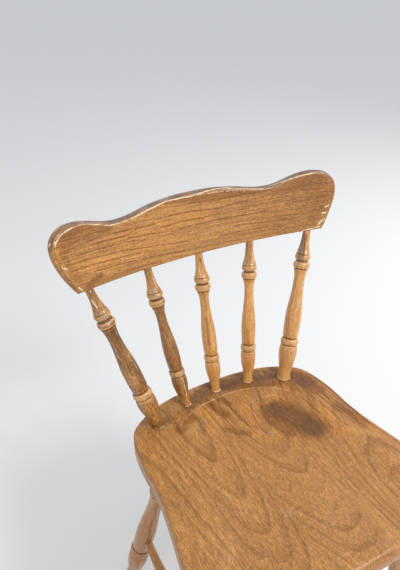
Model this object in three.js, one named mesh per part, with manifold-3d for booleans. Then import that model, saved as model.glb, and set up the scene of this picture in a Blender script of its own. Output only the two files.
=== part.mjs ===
// A spindle-back kitchen chair in wood: a carved plank seat, five turned spindles under a bowed
// crest rail, four turned and splayed legs and an H of three stretchers.
// Units are millimetres. +Z is up, the sitter faces -Y, and the origin is on the floor in the
// middle of the chair's box.
import * as THREE from "three";
import { mergeVertices } from "three/addons/utils/BufferGeometryUtils.js";
import Module from "manifold-3d";

const wasm = await Module();
wasm.setup();

// Seat. Its outline runs from the back's middle over a round shoulder to the waist, on to the
// front corner and along the bowed front. The pommel is the rise that parts the sitter's legs;
// spans are shares of the depth, counted from the back.
const SEAT_HEIGHT = 445;
const SEAT_THICKNESS = 38;
const SEAT_DEPTH = 401;
const SEAT_WAIST_HALF = 177;
const SEAT_WAIST_DEPTH = 134;
const SEAT_SHOULDER_INSET = 21.7;
const SEAT_SHOULDER_DEPTH = 41.5;
const SEAT_FRONT_HALF = 205.5;
const SEAT_CORNER_INSET = 50;
const SEAT_CORNER_DEPTH = 79;
const SEAT_FRONT_BOW = 9;
const SEAT_EDGE_ROUND = 6;
const SEAT_FRONT_ROUND = 13;
const SEAT_EDGE_HEIGHT = 23;
const SEAT_UNDER_BEVEL = 15;
// How the outline bends: each handle is a share of the way along a stretch, or an offset from one
// of its ends.
const SEAT_BACK_HANDLE = 0.53;
const SHOULDER_HANDLE_IN = [-30, 26];
const SHOULDER_HANDLE_OUT = [12, -10.4];
const WAIST_HANDLE_SHARE = 0.48;
const SIDE_HANDLE_SHARES = [0.31, 0.68];
const SIDE_HANDLE_INSETS = [3, 10];
const CORNER_HANDLE_OUT = [5, -35];
const TURN_HANDLE_IN = [36, 7];
const FRONT_HANDLE_SHARES = [0.68, 0.34];
const DISH_DEPTH = 9;
const DISH_RIM = 45;
const DISH_FRONT_RIM = 28;
const DISH_CENTRE_SHARE = 0.44;
const POMMEL_SHARE = 0.55;
const POMMEL_HALF = 46;
const POMMEL_SPAN = [0.5, 0.92];
const FRONT_SPAN = [0.72, 0.98];
const DISH_RING_SHARES = [0.25, 0.5, 0.7, 0.86];

// Crest rail
const RAIL_BOTTOM_HEIGHT = 235;
const RAIL_SETBACK = 35.7;
const RAIL_LEAN = THREE.MathUtils.degToRad(16.5);
const RAIL_BOW_RADIUS = 680;
const RAIL_THICKNESS = 18;
const RAIL_HALF_WIDTH = 237;
const RAIL_BOTTOM_INSET = 28;
const RAIL_BOTTOM_DROP = 2.3;
const RAIL_WIDEST_HEIGHT = 63.5;
const RAIL_HUMP = 96.5;
const RAIL_EAR = 94.4;
const RAIL_EAR_INSET = 34;
const RAIL_EAR_ROUND = 15;
const RAIL_DIP = 81.9;
const RAIL_DIP_X = 129;
const RAIL_EDGE_ROUND = 5;
const RAIL_BOTTOM_ROUND = 1.5;
const RAIL_ROUND_FULL_HEIGHT = 30;
// How the rail's outline bends: each handle is a share of the way along its own stretch.
const EAR_HANDLE_SHARE = 0.7;
const DIP_HANDLE_SHARES = [0.44, 0.66];
const HUMP_HANDLE_SHARES = [0.71, 0.62];
const END_HANDLE_HEIGHTS = [0.7, 0.33];
const END_HANDLE_WIDTH_SHARE = 0.59;

// Back spindles. They stand on an arc near the seat's back edge; the insets are from the seat's
// waist and from the rail's lower corner to the outer spindles.
const SPINDLE_SETBACK = 24.5;
const SPINDLE_ARC_RADIUS = 270;
const OUTER_FOOT_INSET = 56;
const INNER_FOOT_SHARE = 0.5;
const OUTER_HEAD_INSET = 18.5;
const INNER_HEAD_SHARE = 0.477;
const SEAT_SOCKET_DEPTH = 22;
const RAIL_SOCKET_DEPTH = 24;
const RAIL_TENON_TAPER = 1;

// Turned radii, from the foot up
const INNER_SPINDLE = {
  foot: 7.75,
  vase: 12.7,
  ring: 12.8,
  belly: 12,
  neck: 7.5,
  lowerBead: 12.7,
  upperBead: 12.6,
  head: 6.2,
};
const OUTER_SPINDLE = {
  foot: 10.9,
  vase: 15.6,
  ring: 15.3,
  belly: 13.9,
  neck: 9.3,
  lowerBead: 13.8,
  upperBead: 12.8,
  head: 6.4,
};
const LEG = {
  foot: 12.5,
  vase: 19,
  ring: 19.3,
  belly: 18,
  neck: 12.5,
  lowerBead: 18,
  upperBead: 17.4,
  head: 12.5,
};

// Where the turning pattern changes, as shares of the length between the shoulders
const STATION = {
  footEnd: 0.02,
  vase: 0.18,
  vaseEnd: 0.221,
  ring: [0.227, 0.267],
  bellyStart: 0.273,
  belly: 0.39,
  neck: 0.653,
  fillet: 0.733,
  lowerBead: [0.741, 0.784],
  upperBead: [0.798, 0.833],
  headStart: 0.838,
  headEnd: 0.985,
};

// How curves leave a level end, as shares of their length, and how far the turning is cut in
// beside each swelling, as shares of that swelling's radius.
const SWEEP_HANDLES = [0.42, 0.6];
const FLARE_HANDLE = 0.65;
const CUT_IN = { vase: 0.88, ring: 0.88, belly: 0.87, lowerBead: 0.8, upperBead: 0.86 };
const STRETCHER_SWELL_SPAN = [0.1, 0.9];

// Legs. Inset is from the seat's side, setback from its nearer end; splay is how far the foot
// stands out to the side and rake how far it stands out to that end.
const REAR_LEG = { inset: 59, setback: 90, splay: 47, rake: 100 };
const FRONT_LEG = { inset: 67.5, setback: 79, splay: 44, rake: 42 };
const LEG_SOCKET_DEPTH = 22;
const STRETCHER_HEIGHT = 150;
const SIDE_STRETCHER = { end: 7.5, swell: 12, tenonEnd: 4 };
const CROSS_STRETCHER = { end: 6.5, swell: 11.5, tenonEnd: 2 };

const CLEARANCE = 0.3;
const SPINDLE_SIDES = 14;
const LEG_SIDES = 14;
const STRETCHER_SIDES = 10;
const OUTLINE_STEPS = 7;
const FOOT_OVERRUN = 12;
const CUTTER_OVERRUN = 6;
const FLOOR_CUT_SIZE = 900;

const SPINDLE_WOOD = new THREE.MeshStandardMaterial({
  color: 0xb07a42,
  roughness: 0.42,
  metalness: 0,
});
const RAIL_WOOD = new THREE.MeshStandardMaterial({
  color: 0xb27c45,
  roughness: 0.45,
  metalness: 0,
});
const SEAT_WOOD = new THREE.MeshStandardMaterial({
  color: 0x9d6a3c,
  roughness: 0.5,
  metalness: 0,
});
const LEG_WOOD = new THREE.MeshStandardMaterial({
  color: 0xa8733f,
  roughness: 0.45,
  metalness: 0,
});

const { lerp, smoothstep } = THREE.MathUtils;

// Solids and meshes

function solidOf(geometry) {
  const bare = geometry.clone();
  bare.deleteAttribute("normal");
  bare.deleteAttribute("uv");
  const merged = mergeVertices(bare, 1e-4);
  return new wasm.Manifold(
    new wasm.Mesh({
      numProp: 3,
      vertProperties: merged.attributes.position.array,
      triVerts: new Uint32Array(merged.index.array),
    }),
  );
}

function geometryOf(solid) {
  const mesh = solid.getMesh();
  const geometry = new THREE.BufferGeometry();
  geometry.setAttribute(
    "position",
    new THREE.BufferAttribute(new Float32Array(mesh.vertProperties), 3),
  );
  geometry.setIndex(new THREE.BufferAttribute(mesh.triVerts, 1));
  geometry.computeVertexNormals();
  return geometry;
}

// Takes each cutter, a mesh placed in the chair's frame, out of a piece in the same frame.
function cut(piece, cutters) {
  piece.updateMatrixWorld(true);
  const toPiece = piece.matrixWorld.clone().invert();
  let solid = solidOf(piece.geometry);
  for (const cutter of cutters) {
    cutter.updateMatrixWorld(true);
    const moved = cutter.geometry
      .clone()
      .applyMatrix4(cutter.matrixWorld)
      .applyMatrix4(toPiece);
    solid = solid.subtract(solidOf(moved));
  }
  piece.geometry = geometryOf(solid);
}

// Joins rings of equally many points, top or front ring first, each anticlockwise from there.
// addCaps closes the two ends.
function skinOf(rings, addCaps) {
  const count = rings[0].length;
  const positions = rings.flat().flatMap((p) => [p.x, p.y, p.z]);
  const faces = [];
  for (let ring = 0; ring + 1 < rings.length; ring += 1) {
    for (let i = 0; i < count; i += 1) {
      const a = ring * count + i;
      const b = ring * count + ((i + 1) % count);
      faces.push(a, a + count, b, b, a + count, b + count);
    }
  }
  addCaps(positions, faces, count, (rings.length - 1) * count);
  const geometry = new THREE.BufferGeometry();
  geometry.setAttribute("position", new THREE.Float32BufferAttribute(positions, 3));
  geometry.setIndex(faces);
  geometry.computeVertexNormals();
  return geometry;
}

// Walks round a closed outline and gives each point the direction that points inwards.
function withInward(loop) {
  return loop.map((point, i) => {
    const before = loop[(i + loop.length - 1) % loop.length];
    const after = loop[(i + 1) % loop.length];
    const along = after.clone().sub(before).normalize();
    return { point, inward: new THREE.Vector2(-along.y, along.x) };
  });
}

const ROUNDING_ANGLES = [0, 30, 60, 90].map(THREE.MathUtils.degToRad);

// Turned pieces. A point of a profile is [radius, station].

// A curve that runs along the axis at both of its ends.
function sweep(low, high, steps) {
  const curve = new THREE.CubicBezierCurve(
    new THREE.Vector2(...low),
    new THREE.Vector2(low[0], lerp(low[1], high[1], SWEEP_HANDLES[0])),
    new THREE.Vector2(high[0], lerp(low[1], high[1], SWEEP_HANDLES[1])),
    new THREE.Vector2(...high),
  );
  return curve.getPoints(steps);
}

// A curve that runs along the axis at its level end only, and leaves it late.
function flare(low, high, level, steps) {
  const other = level === low ? high : low;
  const curve = new THREE.QuadraticBezierCurve(
    new THREE.Vector2(...low),
    new THREE.Vector2(level[0], lerp(level[1], other[1], FLARE_HANDLE)),
    new THREE.Vector2(...high),
  );
  return curve.getPoints(steps);
}

// A half-round bead that stands out from baseRadius to radius.
function bead(baseRadius, radius, [low, high], steps) {
  const middle = (low + high) / 2;
  const points = [];
  for (let i = 0; i <= steps; i += 1) {
    const angle = (Math.PI * i) / steps;
    points.push(
      new THREE.Vector2(
        lerp(baseRadius, radius, Math.sin(angle)),
        middle - ((high - low) / 2) * Math.cos(angle),
      ),
    );
  }
  return points;
}

// The chair's one turning pattern: vase, ring, long belly, two beads and a slender head.
function postProfile(length, r) {
  const vase = [r.vase, STATION.vase];
  const belly = [r.belly, STATION.belly];
  const neck = [r.neck, STATION.neck];
  const head = [r.head, STATION.headEnd];
  const groove = lerp(r.neck, r.lowerBead, 0.5);
  const headStart = lerp(r.head, r.upperBead, CUT_IN.upperBead);
  const shares = [
    ...sweep([r.foot, STATION.footEnd], vase, 4),
    ...flare(vase, [r.vase * CUT_IN.vase, STATION.vaseEnd], vase, 2).slice(1),
    ...bead(r.ring * CUT_IN.ring, r.ring, STATION.ring, 4),
    ...flare([r.belly * CUT_IN.belly, STATION.bellyStart], belly, belly, 3),
    ...sweep(belly, neck, 4).slice(1),
    ...flare(neck, [groove, STATION.fillet], neck, 2).slice(1),
    ...bead(r.lowerBead * CUT_IN.lowerBead, r.lowerBead, STATION.lowerBead, 4),
    new THREE.Vector2(groove, (STATION.lowerBead[1] + STATION.upperBead[0]) / 2),
    ...bead(r.upperBead * CUT_IN.upperBead, r.upperBead, STATION.upperBead, 3),
    ...flare([headStart, STATION.headStart], head, head, 3),
  ];
  return shares.map((p) => new THREE.Vector2(p.x, p.y * length));
}

// A stretcher swells from its ends to its middle.
function swellProfile(length, r) {
  const middle = [r.swell, 0.5];
  const shares = [
    ...sweep([r.end, STRETCHER_SWELL_SPAN[0]], middle, 4),
    ...sweep(middle, [r.end, STRETCHER_SWELL_SPAN[1]], 4).slice(1),
  ];
  return shares.map((p) => new THREE.Vector2(p.x, p.y * length));
}

function lathe(profile, sides) {
  const first = profile[0];
  const last = profile[profile.length - 1];
  const closed = [
    new THREE.Vector2(0, first.y),
    ...profile,
    new THREE.Vector2(0, last.y),
  ];
  return new THREE.LatheGeometry(closed, sides).rotateX(Math.PI / 2);
}

// Stands a piece whose own axis is +Z at one point, facing another.
function aim(object, from, to) {
  object.position.copy(from);
  object.quaternion.setFromUnitVectors(
    new THREE.Vector3(0, 0, 1),
    to.clone().sub(from).normalize(),
  );
  return object;
}

// A turned piece between two shoulder points. low and high are its ends: reach is how far each
// runs past the shoulder (less than nothing stops short of it), and tip its radius there.
function turnedPiece(name, material, sides, from, to, body, low, high) {
  const length = from.distanceTo(to);
  const profile = [
    new THREE.Vector2(low.tip, -low.reach),
    ...body,
    new THREE.Vector2(high.tip, length + high.reach),
  ];
  const mesh = new THREE.Mesh(lathe(profile, sides), material);
  mesh.name = name;
  mesh.userData = { from, to, sides, length, low, high };
  return aim(mesh, from, to);
}

// The socket for one end of a turned piece: the same taper, larger by the clearance. inside is
// how far within the shoulder point the holder's surface lies.
function socketCutter(piece, endName) {
  const { from, to, sides, length } = piece.userData;
  const end = piece.userData[endName];
  const outward = [
    [end.mouth + CLEARANCE, -end.inside - CUTTER_OVERRUN],
    [end.mouth + CLEARANCE, -end.inside],
    [end.tip + CLEARANCE, end.reach + CLEARANCE],
  ];
  const profile =
    endName === "high"
      ? outward.map(([radius, past]) => new THREE.Vector2(radius, length + past))
      : outward.map(([radius, past]) => new THREE.Vector2(radius, -past)).reverse();
  return aim(new THREE.Mesh(lathe(profile, sides)), from, to);
}

// Seat

const offsetFrom = (point, [x, y]) => [point[0] + x, point[1] + y];

// Half of the seat's outline, from the back's middle to the front's middle.
function seatOutlineHalf() {
  const waist = SEAT_WAIST_HALF;
  const front = SEAT_FRONT_HALF;
  const shoulder = [waist - SEAT_SHOULDER_INSET, -SEAT_SHOULDER_DEPTH];
  const corner = [front, SEAT_CORNER_DEPTH - SEAT_DEPTH];
  const turn = [front - SEAT_CORNER_INSET, SEAT_FRONT_BOW - SEAT_DEPTH];
  const path = new THREE.Path();
  path.moveTo(0, 0);
  path.bezierCurveTo(
    shoulder[0] * SEAT_BACK_HANDLE,
    0,
    ...offsetFrom(shoulder, SHOULDER_HANDLE_IN),
    ...shoulder,
  );
  path.bezierCurveTo(
    ...offsetFrom(shoulder, SHOULDER_HANDLE_OUT),
    waist,
    lerp(shoulder[1], -SEAT_WAIST_DEPTH, WAIST_HANDLE_SHARE),
    waist,
    -SEAT_WAIST_DEPTH,
  );
  path.bezierCurveTo(
    waist - SIDE_HANDLE_INSETS[0],
    lerp(-SEAT_WAIST_DEPTH, corner[1], SIDE_HANDLE_SHARES[0]),
    front - SIDE_HANDLE_INSETS[1],
    lerp(-SEAT_WAIST_DEPTH, corner[1], SIDE_HANDLE_SHARES[1]),
    ...corner,
  );
  path.bezierCurveTo(
    ...offsetFrom(corner, CORNER_HANDLE_OUT),
    ...offsetFrom(turn, TURN_HANDLE_IN),
    ...turn,
  );
  path.bezierCurveTo(
    turn[0] * FRONT_HANDLE_SHARES[0],
    -SEAT_DEPTH,
    turn[0] * FRONT_HANDLE_SHARES[1],
    -SEAT_DEPTH,
    0,
    -SEAT_DEPTH,
  );
  return path.getPoints(OUTLINE_STEPS);
}

// The whole outline, anticlockwise from above, and how far forward each point is (0 at the back,
// 1 at the front).
function seatOutline() {
  const half = seatOutlineHalf();
  const mirrored = half.slice(1, -1).map((p) => new THREE.Vector2(-p.x, p.y));
  const loop = [...mirrored, half[half.length - 1], ...half.slice(1, -1).reverse(), half[0]];
  return withInward(loop).map((o) => ({
    ...o,
    forward: smoothstep(-o.point.y / SEAT_DEPTH, ...FRONT_SPAN),
  }));
}

// How far the carved dish lies below the rim. share is 1 at the dish's edge and 0 at its middle.
function dishDepth(x, y, share) {
  const bowl = DISH_DEPTH * (1 - share ** 3);
  const forward = smoothstep(-y / SEAT_DEPTH, ...POMMEL_SPAN);
  const pommel = POMMEL_SHARE * forward * Math.exp(-((x / POMMEL_HALF) ** 2));
  return bowl * (1 - pommel);
}

function seatGeometry() {
  const outline = seatOutline();
  const centre = new THREE.Vector2(0, -DISH_CENTRE_SHARE * SEAT_DEPTH);
  const top = SEAT_HEIGHT;
  const bottom = SEAT_HEIGHT - SEAT_THICKNESS;
  const inset = (distanceAt, heightAt) =>
    outline.map((o) => {
      const p = o.point.clone().addScaledVector(o.inward, distanceAt(o));
      return new THREE.Vector3(p.x, p.y, heightAt(o));
    });
  const rimAt = (o) => lerp(DISH_RIM, DISH_FRONT_RIM, o.forward);
  const roundAt = (o) => lerp(SEAT_EDGE_ROUND, SEAT_FRONT_ROUND, o.forward);
  const dishEdge = inset(rimAt, () => top);
  const dishRing = (share) =>
    dishEdge.map((p) => {
      const x = lerp(centre.x, p.x, share);
      const y = lerp(centre.y, p.y, share);
      return new THREE.Vector3(x, y, top - dishDepth(x, y, share));
    });
  const rings = DISH_RING_SHARES.map(dishRing);
  rings.push(dishEdge);
  for (const angle of ROUNDING_ANGLES) {
    rings.push(
      inset(
        (o) => roundAt(o) * (1 - Math.sin(angle)),
        (o) => top - roundAt(o) * (1 - Math.cos(angle)),
      ),
    );
  }
  rings.push(inset(() => 0, () => top - SEAT_EDGE_HEIGHT));
  rings.push(inset(() => SEAT_UNDER_BEVEL, () => bottom));
  const middleTop = [centre.x, centre.y, top - dishDepth(centre.x, centre.y, 0)];
  const middleBottom = [centre.x, centre.y, bottom];
  return skinOf(rings, (positions, faces, count, last) => {
    const upper = positions.length / 3;
    positions.push(...middleTop, ...middleBottom);
    for (let i = 0; i < count; i += 1) {
      const next = (i + 1) % count;
      faces.push(upper, i, next);
      faces.push(upper + 1, last + next, last + i);
    }
  });
}

// Crest rail, in its own frame: x across, y back, z up its face, origin at the middle of the
// bottom edge and of the thickness.

const bowAt = (x) => RAIL_BOW_RADIUS - Math.sqrt(RAIL_BOW_RADIUS ** 2 - x ** 2);

// The right half of the rail's upper edge, from the widest point to the middle.
function railUpperHalf() {
  const half = RAIL_HALF_WIDTH;
  const ear = half - RAIL_EAR_INSET;
  const dip = RAIL_DIP_X;
  const shoulder = lerp(RAIL_WIDEST_HEIGHT, RAIL_EAR, EAR_HANDLE_SHARE);
  const path = new THREE.Path();
  path.moveTo(half, RAIL_WIDEST_HEIGHT);
  path.bezierCurveTo(half, shoulder, ear + RAIL_EAR_ROUND, RAIL_EAR, ear, RAIL_EAR);
  path.bezierCurveTo(
    lerp(ear, dip, DIP_HANDLE_SHARES[0]),
    RAIL_EAR,
    lerp(ear, dip, DIP_HANDLE_SHARES[1]),
    RAIL_DIP,
    dip,
    RAIL_DIP,
  );
  path.bezierCurveTo(
    dip * HUMP_HANDLE_SHARES[0],
    RAIL_DIP,
    dip * HUMP_HANDLE_SHARES[1],
    RAIL_HUMP,
    0,
    RAIL_HUMP,
  );
  return path.getPoints(OUTLINE_STEPS);
}

// The right half of its lower edge, from the widest point to the middle, in as many points.
function railLowerHalf(count) {
  const corner = RAIL_HALF_WIDTH - RAIL_BOTTOM_INSET;
  const path = new THREE.Path();
  path.moveTo(RAIL_HALF_WIDTH, RAIL_WIDEST_HEIGHT);
  path.bezierCurveTo(
    RAIL_HALF_WIDTH,
    RAIL_WIDEST_HEIGHT * END_HANDLE_HEIGHTS[0],
    lerp(corner, RAIL_HALF_WIDTH, END_HANDLE_WIDTH_SHARE),
    RAIL_WIDEST_HEIGHT * END_HANDLE_HEIGHTS[1],
    corner,
    -RAIL_BOTTOM_DROP,
  );
  const points = path.getPoints(OUTLINE_STEPS);
  const steps = count - points.length;
  for (let i = 1; i <= steps; i += 1) {
    const share = 1 - i / steps;
    points.push(new THREE.Vector2(corner * share, -RAIL_BOTTOM_DROP * share ** 2));
  }
  return points;
}

// The whole outline, with the radius that its edges are rounded to at each point.
function railOutline() {
  const upper = railUpperHalf();
  const lower = railLowerHalf(upper.length);
  const mirror = (p) => new THREE.Vector2(-p.x, p.y);
  const above = [...upper, ...upper.slice(0, -1).reverse().map(mirror)];
  const below = [...lower.slice(1), ...lower.slice(1, -1).reverse().map(mirror)];
  return withInward([...above, ...below.reverse()]).map((o) => {
    const share = smoothstep(o.point.y, 0, RAIL_ROUND_FULL_HEIGHT);
    return { ...o, round: lerp(RAIL_BOTTOM_ROUND, RAIL_EDGE_ROUND, share) };
  });
}

function railGeometry() {
  const outline = railOutline();
  const ring = (angle, depthOf) =>
    outline.map((o) => {
      const p = o.point.clone().addScaledVector(o.inward, o.round * (1 - Math.sin(angle)));
      const depth = depthOf(o.round * (1 - Math.cos(angle)));
      return new THREE.Vector3(p.x, depth - RAIL_THICKNESS / 2 - bowAt(p.x), p.y);
    });
  const front = ROUNDING_ANGLES.map((angle) => ring(angle, (rounded) => rounded));
  const back = ROUNDING_ANGLES.map((angle) =>
    ring(angle, (rounded) => RAIL_THICKNESS - rounded),
  );
  return skinOf([...front, ...back.reverse()], (positions, faces, count, last) => {
    const ends = count / 2;
    for (let i = 0; i < ends; i += 1) {
      const below = (k) => (count - k) % count;
      const quad = [i, i + 1, below(i + 1), below(i)];
      const halves = [quad.slice(0, 3), [quad[0], quad[2], quad[3]]];
      for (const corners of halves.filter((h) => new Set(h).size === 3)) {
        faces.push(...corners);
        faces.push(...corners.map((k) => k + last).reverse());
      }
    }
  });
}

// Assembly. Points here are in a frame whose y is 0 at the seat's back edge.

const seat = new THREE.Mesh(seatGeometry(), SEAT_WOOD);
seat.name = "seat";

const rail = new THREE.Mesh(railGeometry(), RAIL_WOOD);
rail.name = "crest_rail";
rail.position.set(0, RAIL_SETBACK, SEAT_HEIGHT + RAIL_BOTTOM_HEIGHT);
rail.rotation.x = -RAIL_LEAN;
rail.updateMatrixWorld(true);

const headPoint = (x) =>
  new THREE.Vector3(x, -bowAt(x), 0).applyMatrix4(rail.matrixWorld);

// Stands a spindle on the seat's arc, with its foot footX and its head headX from the middle.
function spindle(name, radii, footX, headX) {
  const arc = SPINDLE_ARC_RADIUS - Math.sqrt(SPINDLE_ARC_RADIUS ** 2 - footX ** 2);
  const foot = new THREE.Vector3(footX, -SPINDLE_SETBACK - arc, SEAT_HEIGHT);
  const head = headPoint(headX);
  const length = foot.distanceTo(head);
  const low = { mouth: radii.foot, tip: radii.foot, reach: SEAT_SOCKET_DEPTH, inside: 0 };
  const high = {
    mouth: radii.head,
    tip: radii.head - RAIL_TENON_TAPER,
    reach: RAIL_SOCKET_DEPTH,
    inside: 0,
  };
  const body = [...postProfile(length, radii), new THREE.Vector2(radii.head, length)];
  return turnedPiece(name, SPINDLE_WOOD, SPINDLE_SIDES, foot, head, body, low, high);
}

const outerFoot = SEAT_WAIST_HALF - OUTER_FOOT_INSET;
const innerFoot = INNER_FOOT_SHARE * outerFoot;
const outerHead = RAIL_HALF_WIDTH - RAIL_BOTTOM_INSET - OUTER_HEAD_INSET;
const innerHead = INNER_HEAD_SHARE * outerHead;
const spindles = [
  spindle("spindle_outer_left", OUTER_SPINDLE, -outerFoot, -outerHead),
  spindle("spindle_inner_left", INNER_SPINDLE, -innerFoot, -innerHead),
  spindle("spindle_centre", INNER_SPINDLE, 0, 0),
  spindle("spindle_inner_right", INNER_SPINDLE, innerFoot, innerHead),
  spindle("spindle_outer_right", OUTER_SPINDLE, outerFoot, outerHead),
];

// side is -1 on the left; end is 1 for a rear leg and -1 for a front one.
function leg(name, side, end, seatHalf, place) {
  const endY = end > 0 ? 0 : -SEAT_DEPTH;
  const topX = side * (seatHalf - place.inset);
  const topY = endY - end * place.setback;
  const foot = new THREE.Vector3(topX + side * place.splay, topY + end * place.rake, 0);
  const top = new THREE.Vector3(topX, topY, SEAT_HEIGHT - SEAT_THICKNESS);
  const low = { mouth: LEG.foot, tip: LEG.foot, reach: FOOT_OVERRUN, inside: 0 };
  const high = { mouth: LEG.head, tip: LEG.head, reach: LEG_SOCKET_DEPTH, inside: 0 };
  const body = postProfile(foot.distanceTo(top), LEG);
  return turnedPiece(name, LEG_WOOD, LEG_SIDES, foot, top, body, low, high);
}

const rearLeft = leg("leg_rear_left", -1, 1, SEAT_WAIST_HALF, REAR_LEG);
const rearRight = leg("leg_rear_right", 1, 1, SEAT_WAIST_HALF, REAR_LEG);
const frontLeft = leg("leg_front_left", -1, -1, SEAT_FRONT_HALF, FRONT_LEG);
const frontRight = leg("leg_front_right", 1, -1, SEAT_FRONT_HALF, FRONT_LEG);
const legs = [rearLeft, rearRight, frontLeft, frontRight];

// The point on a leg's axis at the stretchers' height.
function axisAtStretcher(piece) {
  const { from, to } = piece.userData;
  return from.clone().lerp(to, (STRETCHER_HEIGHT - from.z) / (to.z - from.z));
}

// A stretcher between two axis points. Its tenons stop short of both axes; hostRadius is how
// thick the piece that holds them is there.
function stretcher(name, from, to, radii, hostRadius) {
  const end = {
    mouth: radii.end,
    tip: radii.end,
    reach: -radii.tenonEnd,
    inside: hostRadius,
  };
  const body = swellProfile(from.distanceTo(to), radii);
  return turnedPiece(name, LEG_WOOD, STRETCHER_SIDES, from, to, body, end, end);
}

const leftStretcher = stretcher(
  "stretcher_left",
  axisAtStretcher(frontLeft),
  axisAtStretcher(rearLeft),
  SIDE_STRETCHER,
  LEG.belly,
);
const rightStretcher = stretcher(
  "stretcher_right",
  axisAtStretcher(frontRight),
  axisAtStretcher(rearRight),
  SIDE_STRETCHER,
  LEG.belly,
);
const middleOf = (piece) => piece.userData.from.clone().lerp(piece.userData.to, 0.5);
const crossStretcher = stretcher(
  "stretcher_cross",
  middleOf(leftStretcher),
  middleOf(rightStretcher),
  CROSS_STRETCHER,
  SIDE_STRETCHER.swell,
);

// Sockets and the level cut of the feet

const floorCutter = new THREE.Mesh(
  new THREE.BoxGeometry(FLOOR_CUT_SIZE, FLOOR_CUT_SIZE, FLOOR_CUT_SIZE),
);
floorCutter.position.set(0, -SEAT_DEPTH / 2, -FLOOR_CUT_SIZE / 2);

cut(seat, [
  ...spindles.map((s) => socketCutter(s, "low")),
  ...legs.map((l) => socketCutter(l, "high")),
]);
cut(rail, spindles.map((s) => socketCutter(s, "high")));
cut(frontLeft, [floorCutter, socketCutter(leftStretcher, "low")]);
cut(rearLeft, [floorCutter, socketCutter(leftStretcher, "high")]);
cut(frontRight, [floorCutter, socketCutter(rightStretcher, "low")]);
cut(rearRight, [floorCutter, socketCutter(rightStretcher, "high")]);
cut(leftStretcher, [socketCutter(crossStretcher, "low")]);
cut(rightStretcher, [socketCutter(crossStretcher, "high")]);

const back = new THREE.Group();
back.add(rail, ...spindles);
const base = new THREE.Group();
base.add(...legs, leftStretcher, rightStretcher, crossStretcher);
const chair = new THREE.Group();
chair.add(seat, back, base);

// Puts the origin under the middle of the chair's box.
const box = new THREE.Box3().setFromObject(chair, true);
const assembly = new THREE.Group();
chair.position.y = -(box.min.y + box.max.y) / 2;
assembly.add(chair);

export default assembly;
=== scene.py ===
"""The looks of a worn, varnished spindle-back chair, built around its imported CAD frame.

Lengths are metres unless a name ends in _MM. The chair faces -Y and stands on z = 0.
"""
import itertools
import math

import bpy
import numpy as np
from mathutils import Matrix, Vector
from mathutils.bvhtree import BVHTree
from mathutils.geometry import delaunay_2d_cdt
from mathutils.kdtree import KDTree


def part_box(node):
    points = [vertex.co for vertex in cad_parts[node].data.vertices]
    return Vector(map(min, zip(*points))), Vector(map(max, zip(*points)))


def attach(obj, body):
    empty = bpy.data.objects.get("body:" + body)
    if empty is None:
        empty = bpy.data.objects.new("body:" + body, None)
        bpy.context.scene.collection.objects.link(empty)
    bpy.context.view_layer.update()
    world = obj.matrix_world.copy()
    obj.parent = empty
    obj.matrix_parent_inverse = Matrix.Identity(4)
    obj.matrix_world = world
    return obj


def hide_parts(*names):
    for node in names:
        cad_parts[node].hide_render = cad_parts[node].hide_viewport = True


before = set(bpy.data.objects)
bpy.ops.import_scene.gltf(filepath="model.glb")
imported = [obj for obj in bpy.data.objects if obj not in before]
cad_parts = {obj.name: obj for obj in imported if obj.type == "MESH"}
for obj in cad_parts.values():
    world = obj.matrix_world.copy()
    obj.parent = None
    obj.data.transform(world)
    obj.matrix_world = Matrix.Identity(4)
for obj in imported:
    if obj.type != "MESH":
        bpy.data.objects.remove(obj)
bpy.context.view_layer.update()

MM = 0.001

# Sizes of the turned pieces, as in the CAD. First how far the spindles and the legs run into their
# sockets, and how much shorter than its swelling pattern a stretcher is at each end
SEAT_TENON_MM, RAIL_TENON_MM, LEG_TENON_MM = 22, 24, 22
SIDE_TENON_SHORT_MM, CROSS_TENON_SHORT_MM = 4, 2
INNER_SPINDLE = dict(foot=7.75, vase=12.7, ring=12.8, belly=12, neck=7.5, lower=12.7, upper=12.6, head=6.2)
OUTER_SPINDLE = dict(foot=10.9, vase=15.6, ring=15.3, belly=13.9, neck=9.3, lower=13.8, upper=12.8, head=6.4)
LEG = dict(foot=12.5, vase=19, ring=19.3, belly=18, neck=12.5, lower=18, upper=17.4, head=12.5)
SIDE_STRETCHER = dict(end=7.5, swell=12)
CROSS_STRETCHER = dict(end=6.5, swell=11.5)

# How much a spindle's upper tenon narrows, and a leg's rounded tip: pairs of inset and height
TENON_TAPER_MM, LEG_TIP_MM = 1, ((-1.4, 0), (-0.3, 1.1), (0, 3))

# Share of a stretcher that stays straight at each end
STRETCHER_STRAIGHT = 0.1

# The outer left spindle's foot is worn thinner than the CAD's
WORN_FOOT_MM = 9.7

# Where the turning pattern changes, as shares of the length between the shoulders
FOOT_END, VASE, VASE_END = 0.02, 0.18, 0.221
RING, BELLY_START, BELLY, NECK, FILLET = (0.227, 0.267), 0.273, 0.39, 0.653, 0.733
LOWER_BEAD, UPPER_BEAD, HEAD_START, HEAD_END = (0.741, 0.784), (0.798, 0.833), 0.838, 0.985

# Radii in the pattern, as shares of the swell, bead or groove beside them
SWELL_EDGE, NOTCH_FLOOR, RING_BASE = 0.9, 0.76, 0.86
FILLET_TOP, FILLET_FLOOR, GROOVE_FLOOR = 1.02, 0.84, 0.86
LOWER_BEAD_BASE, UPPER_BEAD_BASE, COVE_TOP, HEAD_FOOT = 0.8, 0.82, 0.66, 0.84
NOTCH_MM, GROOVE_SHARES = 1.5, (0.3, 0.7)

# How far the handles of the turned curves reach, as shares of the curve's length
SWEEP_HANDLES, FLARE_HANDLE = (0.42, 0.6), 0.65

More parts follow.
